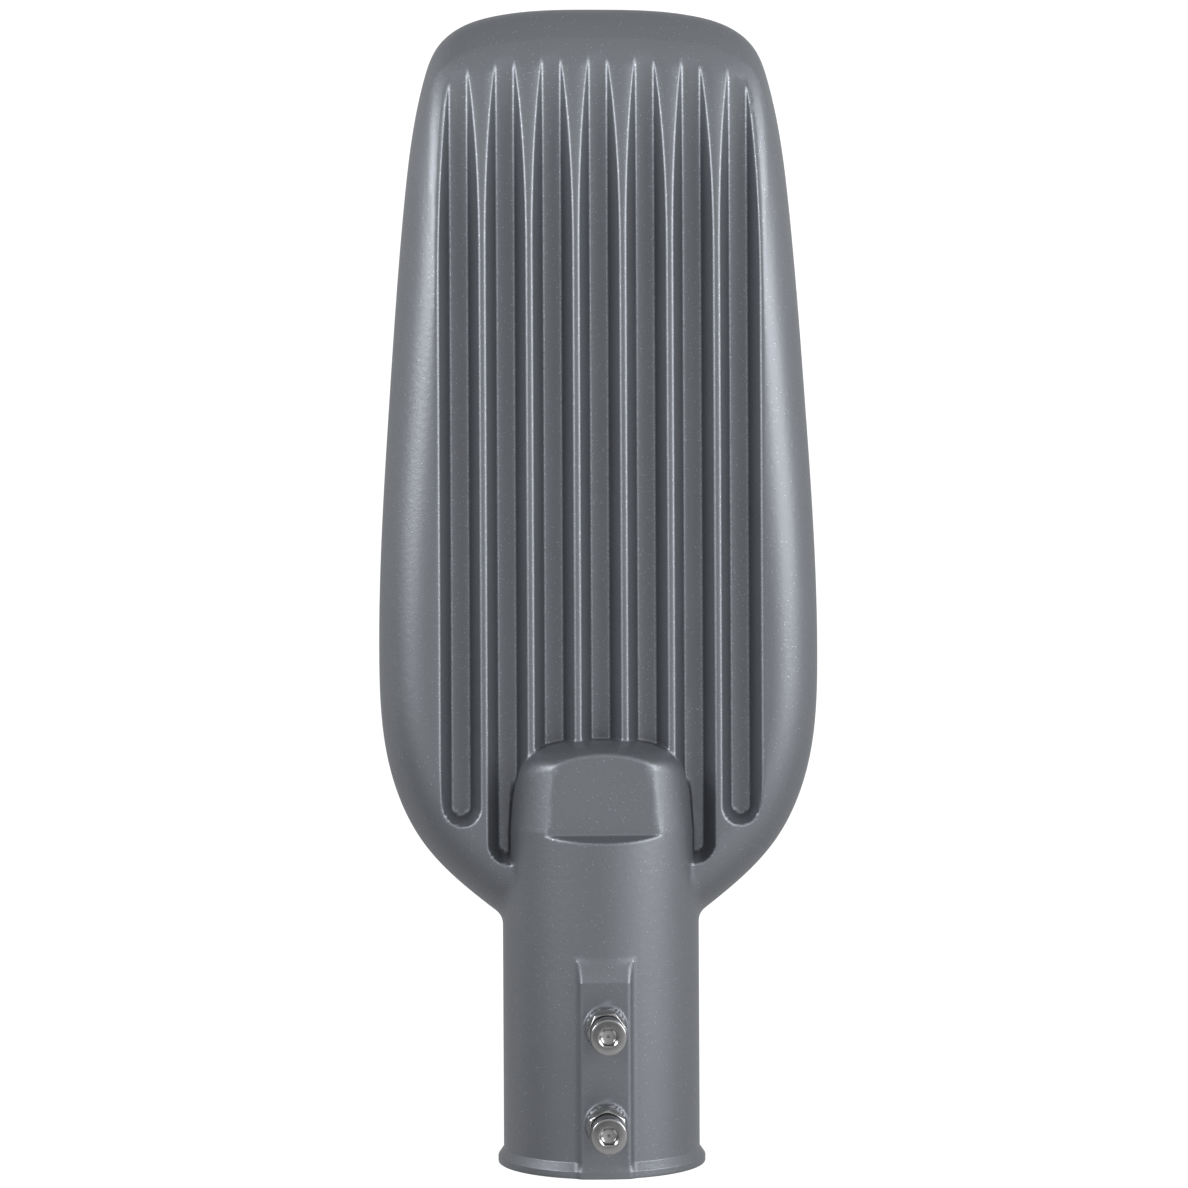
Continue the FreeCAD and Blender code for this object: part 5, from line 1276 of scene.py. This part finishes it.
class STREETLIGHT_OT_gear(Operator):
    """Dress the driver, terminals, arrester, earth, leads and cable gland"""
    bl_idname = "streetlight.gear"
    bl_label = "Gear"

    def execute(self, context):
        dress_all((
            ("driver", "driver_case", 0.3), ("terminal_block", "terminal_plastic", 0.2),
            ("surge_arrester", "arrester_plastic", 0.2), ("earth_washer", "brass", 0.1),
            ("led_leads", "lead_insulation", 0), ("mains_leads", "mains_insulation", 0),
            ("lead_grommet", "seal_rubber", 0.2), ("cable_gland", "gland_plastic", 0.2),
            ("gland_seal", "seal_rubber", 0.1), ("gland_lock_nut", "gland_plastic", 0.2),
        ))
        return {"FINISHED"}


class STREETLIGHT_OT_stage(Operator):
    """Set up the floor, soft lamps, white surroundings and camera"""
    bl_idname = "streetlight.stage"
    bl_label = "Stage"

    def execute(self, context):
        scene = context.scene
        sizes = scene.streetlight_stage
        make_floor()
        make_world(scene, sizes.overhead)
        make_lamp("lamp_right", (1.05, 0.62, 0.62), (0.8, 0.85), sizes.right_lamp)
        make_lamp("lamp_left", (-1.06, 0.72, 0.56), (0.5, 0.75), sizes.left_lamp)
        make_camera(scene, sizes)
        scene.view_settings.view_transform = "Standard"
        return {"FINISHED"}


FLOOR_HALF, FLOOR_DROP, FLOOR_COLOUR, FLOOR_ROUGHNESS = 6.0, 0.15, (0.50, 0.50, 0.50), 0.9
FLOOR_GLOW, GLOW_SHARE, MIRRORED_SHARE = 1.33, 0.7, 0.06
DOME_TILT, DOME_LEVEL, DOME_FALL = (0.34, 0.94), 0.10, 3.0
WALL_LEVEL, WALL_TILT, CEILING_EDGE, CEILING_DIM = 0.52, (0.32, 0.34), (0.968, 0.984), 0.65
LAMP_AIM, CAMERA_TARGET = Vector((0, 0.30, 0)), Vector((-0.0020, 0.2139, 0.0))


def make_floor():
    """A pale floor below the part: it glows for the camera and lets light and views through from below."""
    bottom = cad_bounds[0][2] - FLOOR_DROP
    corners = [(x * FLOOR_HALF, y * FLOOR_HALF, bottom) for x, y in ((-1, -1), (1, -1), (1, 1), (-1, 1))]
    floor = linked("floor", mesh_from("floor", corners, [(0, 1, 2, 3)]))
    finish = Finish("pale_floor", FLOOR_COLOUR, FLOOR_ROUGHNESS)
    path = finish.node("ShaderNodeLightPath")
    glow = finish.node("ShaderNodeEmission", None, {"Color": (1.0, 1.0, 1.0), "Strength": FLOOR_GLOW})
    plain = finish.node("ShaderNodeMixShader", None, {
        0: (path.value("Is Camera Ray") + path.value("Is Glossy Ray") * MIRRORED_SHARE) * GLOW_SHARE,
        1: finish.shader.outputs["BSDF"], 2: glow.link("Emission")})
    through = finish.node("ShaderNodeMixShader", None, {
        0: finish.node("ShaderNodeNewGeometry").link("Backfacing"), 1: plain.link("Shader"),
        2: finish.node("ShaderNodeBsdfTransparent").link("BSDF")})
    finish.feed(finish.output.inputs["Surface"], through.link("Shader"))
    floor.data.materials.append(finish.material)


def make_world(scene, overhead):
    """Soft light from above and the right; mirrored surfaces see pale walls and a dimmer ceiling."""
    world = bpy.data.worlds.new("studio")
    world.use_nodes = True
    graph = Graph(world.node_tree)
    graph.tree.nodes.clear()
    way = graph.node("ShaderNodeTexCoord").link("Generated")
    parts = graph.node("ShaderNodeSeparateXYZ", None, {"Vector": way})
    across, up = parts.value("X"), parts.value("Z")
    facing = graph.math("MAXIMUM", across * DOME_TILT[0] + up * DOME_TILT[1], 0.0)
    soft = DOME_LEVEL + facing ** DOME_FALL * overhead
    walls = WALL_LEVEL + across * WALL_TILT[0] + up * WALL_TILT[1]
    mirrored = walls * (1.0 - up.between(*CEILING_EDGE) * CEILING_DIM)
    path = graph.node("ShaderNodeLightPath")
    white = graph.math("MAXIMUM", path.value("Is Camera Ray"), path.value("Is Transmission Ray"))
    glossy = path.value("Is Glossy Ray")
    light = soft * (1.0 - glossy) + mirrored * glossy
    strength = white + light * (1.0 - white)
    light = graph.node("ShaderNodeBackground", None, {"Color": (1.0, 1.0, 1.0), "Strength": strength})
    graph.node("ShaderNodeOutputWorld", None, {"Surface": light.link("Background")})
    scene.world = world


def make_lamp(name, place, extent, power):
    lamp = bpy.data.lights.new(name, "AREA")
    lamp.shape = "RECTANGLE"
    lamp.size, lamp.size_y = extent
    lamp.energy = power
    holder = bpy.data.objects.new(name, lamp)
    bpy.context.scene.collection.objects.link(holder)
    holder.location = place
    holder.rotation_euler = (LAMP_AIM - Vector(place)).to_track_quat("-Z", "Y").to_euler()


def make_camera(scene, sizes):
    camera = bpy.data.cameras.new("camera")
    camera.sensor_width = 36.0
    camera.lens = camera.sensor_width * sizes.camera_distance / sizes.frame_width
    camera.clip_start = 0.01
    holder = bpy.data.objects.new("camera", camera)
    scene.collection.objects.link(holder)
    back = Vector((-math.sin(sizes.camera_lean), 0, math.cos(sizes.camera_lean)))
    up = Vector((math.sin(sizes.camera_turn), math.cos(sizes.camera_turn), 0))
    right = up.cross(back).normalized()
    up = back.cross(right).normalized()
    turn = Matrix((right, up, back)).transposed().to_4x4()
    holder.matrix_world = Matrix.Translation(CAMERA_TARGET + back * sizes.camera_distance) @ turn
    scene.camera = holder


class STREETLIGHT_PT_panel(Panel):
    bl_label = "Street light head"
    bl_space_type = "VIEW_3D"
    bl_region_type = "UI"
    bl_category = "Street light"

    def draw(self, context):
        for settings in (
            context.scene.streetlight_casting, context.scene.streetlight_colours,
            context.scene.streetlight_stage,
        ):
            box = self.layout.box()
            for name in settings.bl_rna.properties.keys():
                if name not in ("rna_type", "name"):
                    box.prop(settings, name)
        for step in STEPS:
            self.layout.operator(step.bl_idname)


STEPS = (
    STREETLIGHT_OT_finishes, STREETLIGHT_OT_casting, STREETLIGHT_OT_fasteners, STREETLIGHT_OT_underside,
    STREETLIGHT_OT_light_engine, STREETLIGHT_OT_gear, STREETLIGHT_OT_stage,
)
CLASSES = (CastingSizes, FinishColours, StageSizes) + STEPS + (STREETLIGHT_PT_panel,)


def register():
    for made in CLASSES:
        bpy.utils.register_class(made)
    bpy.types.Scene.streetlight_casting = PointerProperty(type=CastingSizes)
    bpy.types.Scene.streetlight_colours = PointerProperty(type=FinishColours)
    bpy.types.Scene.streetlight_stage = PointerProperty(type=StageSizes)


def unregister():
    del bpy.types.Scene.streetlight_stage
    del bpy.types.Scene.streetlight_colours
    del bpy.types.Scene.streetlight_casting
    for made in reversed(CLASSES):
        bpy.utils.unregister_class(made)


def main():
    register()
    bpy.ops.streetlight.finishes()
    bpy.ops.streetlight.casting()
    bpy.ops.streetlight.fasteners()
    bpy.ops.streetlight.underside()
    bpy.ops.streetlight.light_engine()
    bpy.ops.streetlight.gear()
    bpy.ops.streetlight.stage()
    bpy.context.view_layer.update()


if __name__ == "__main__":
    main()
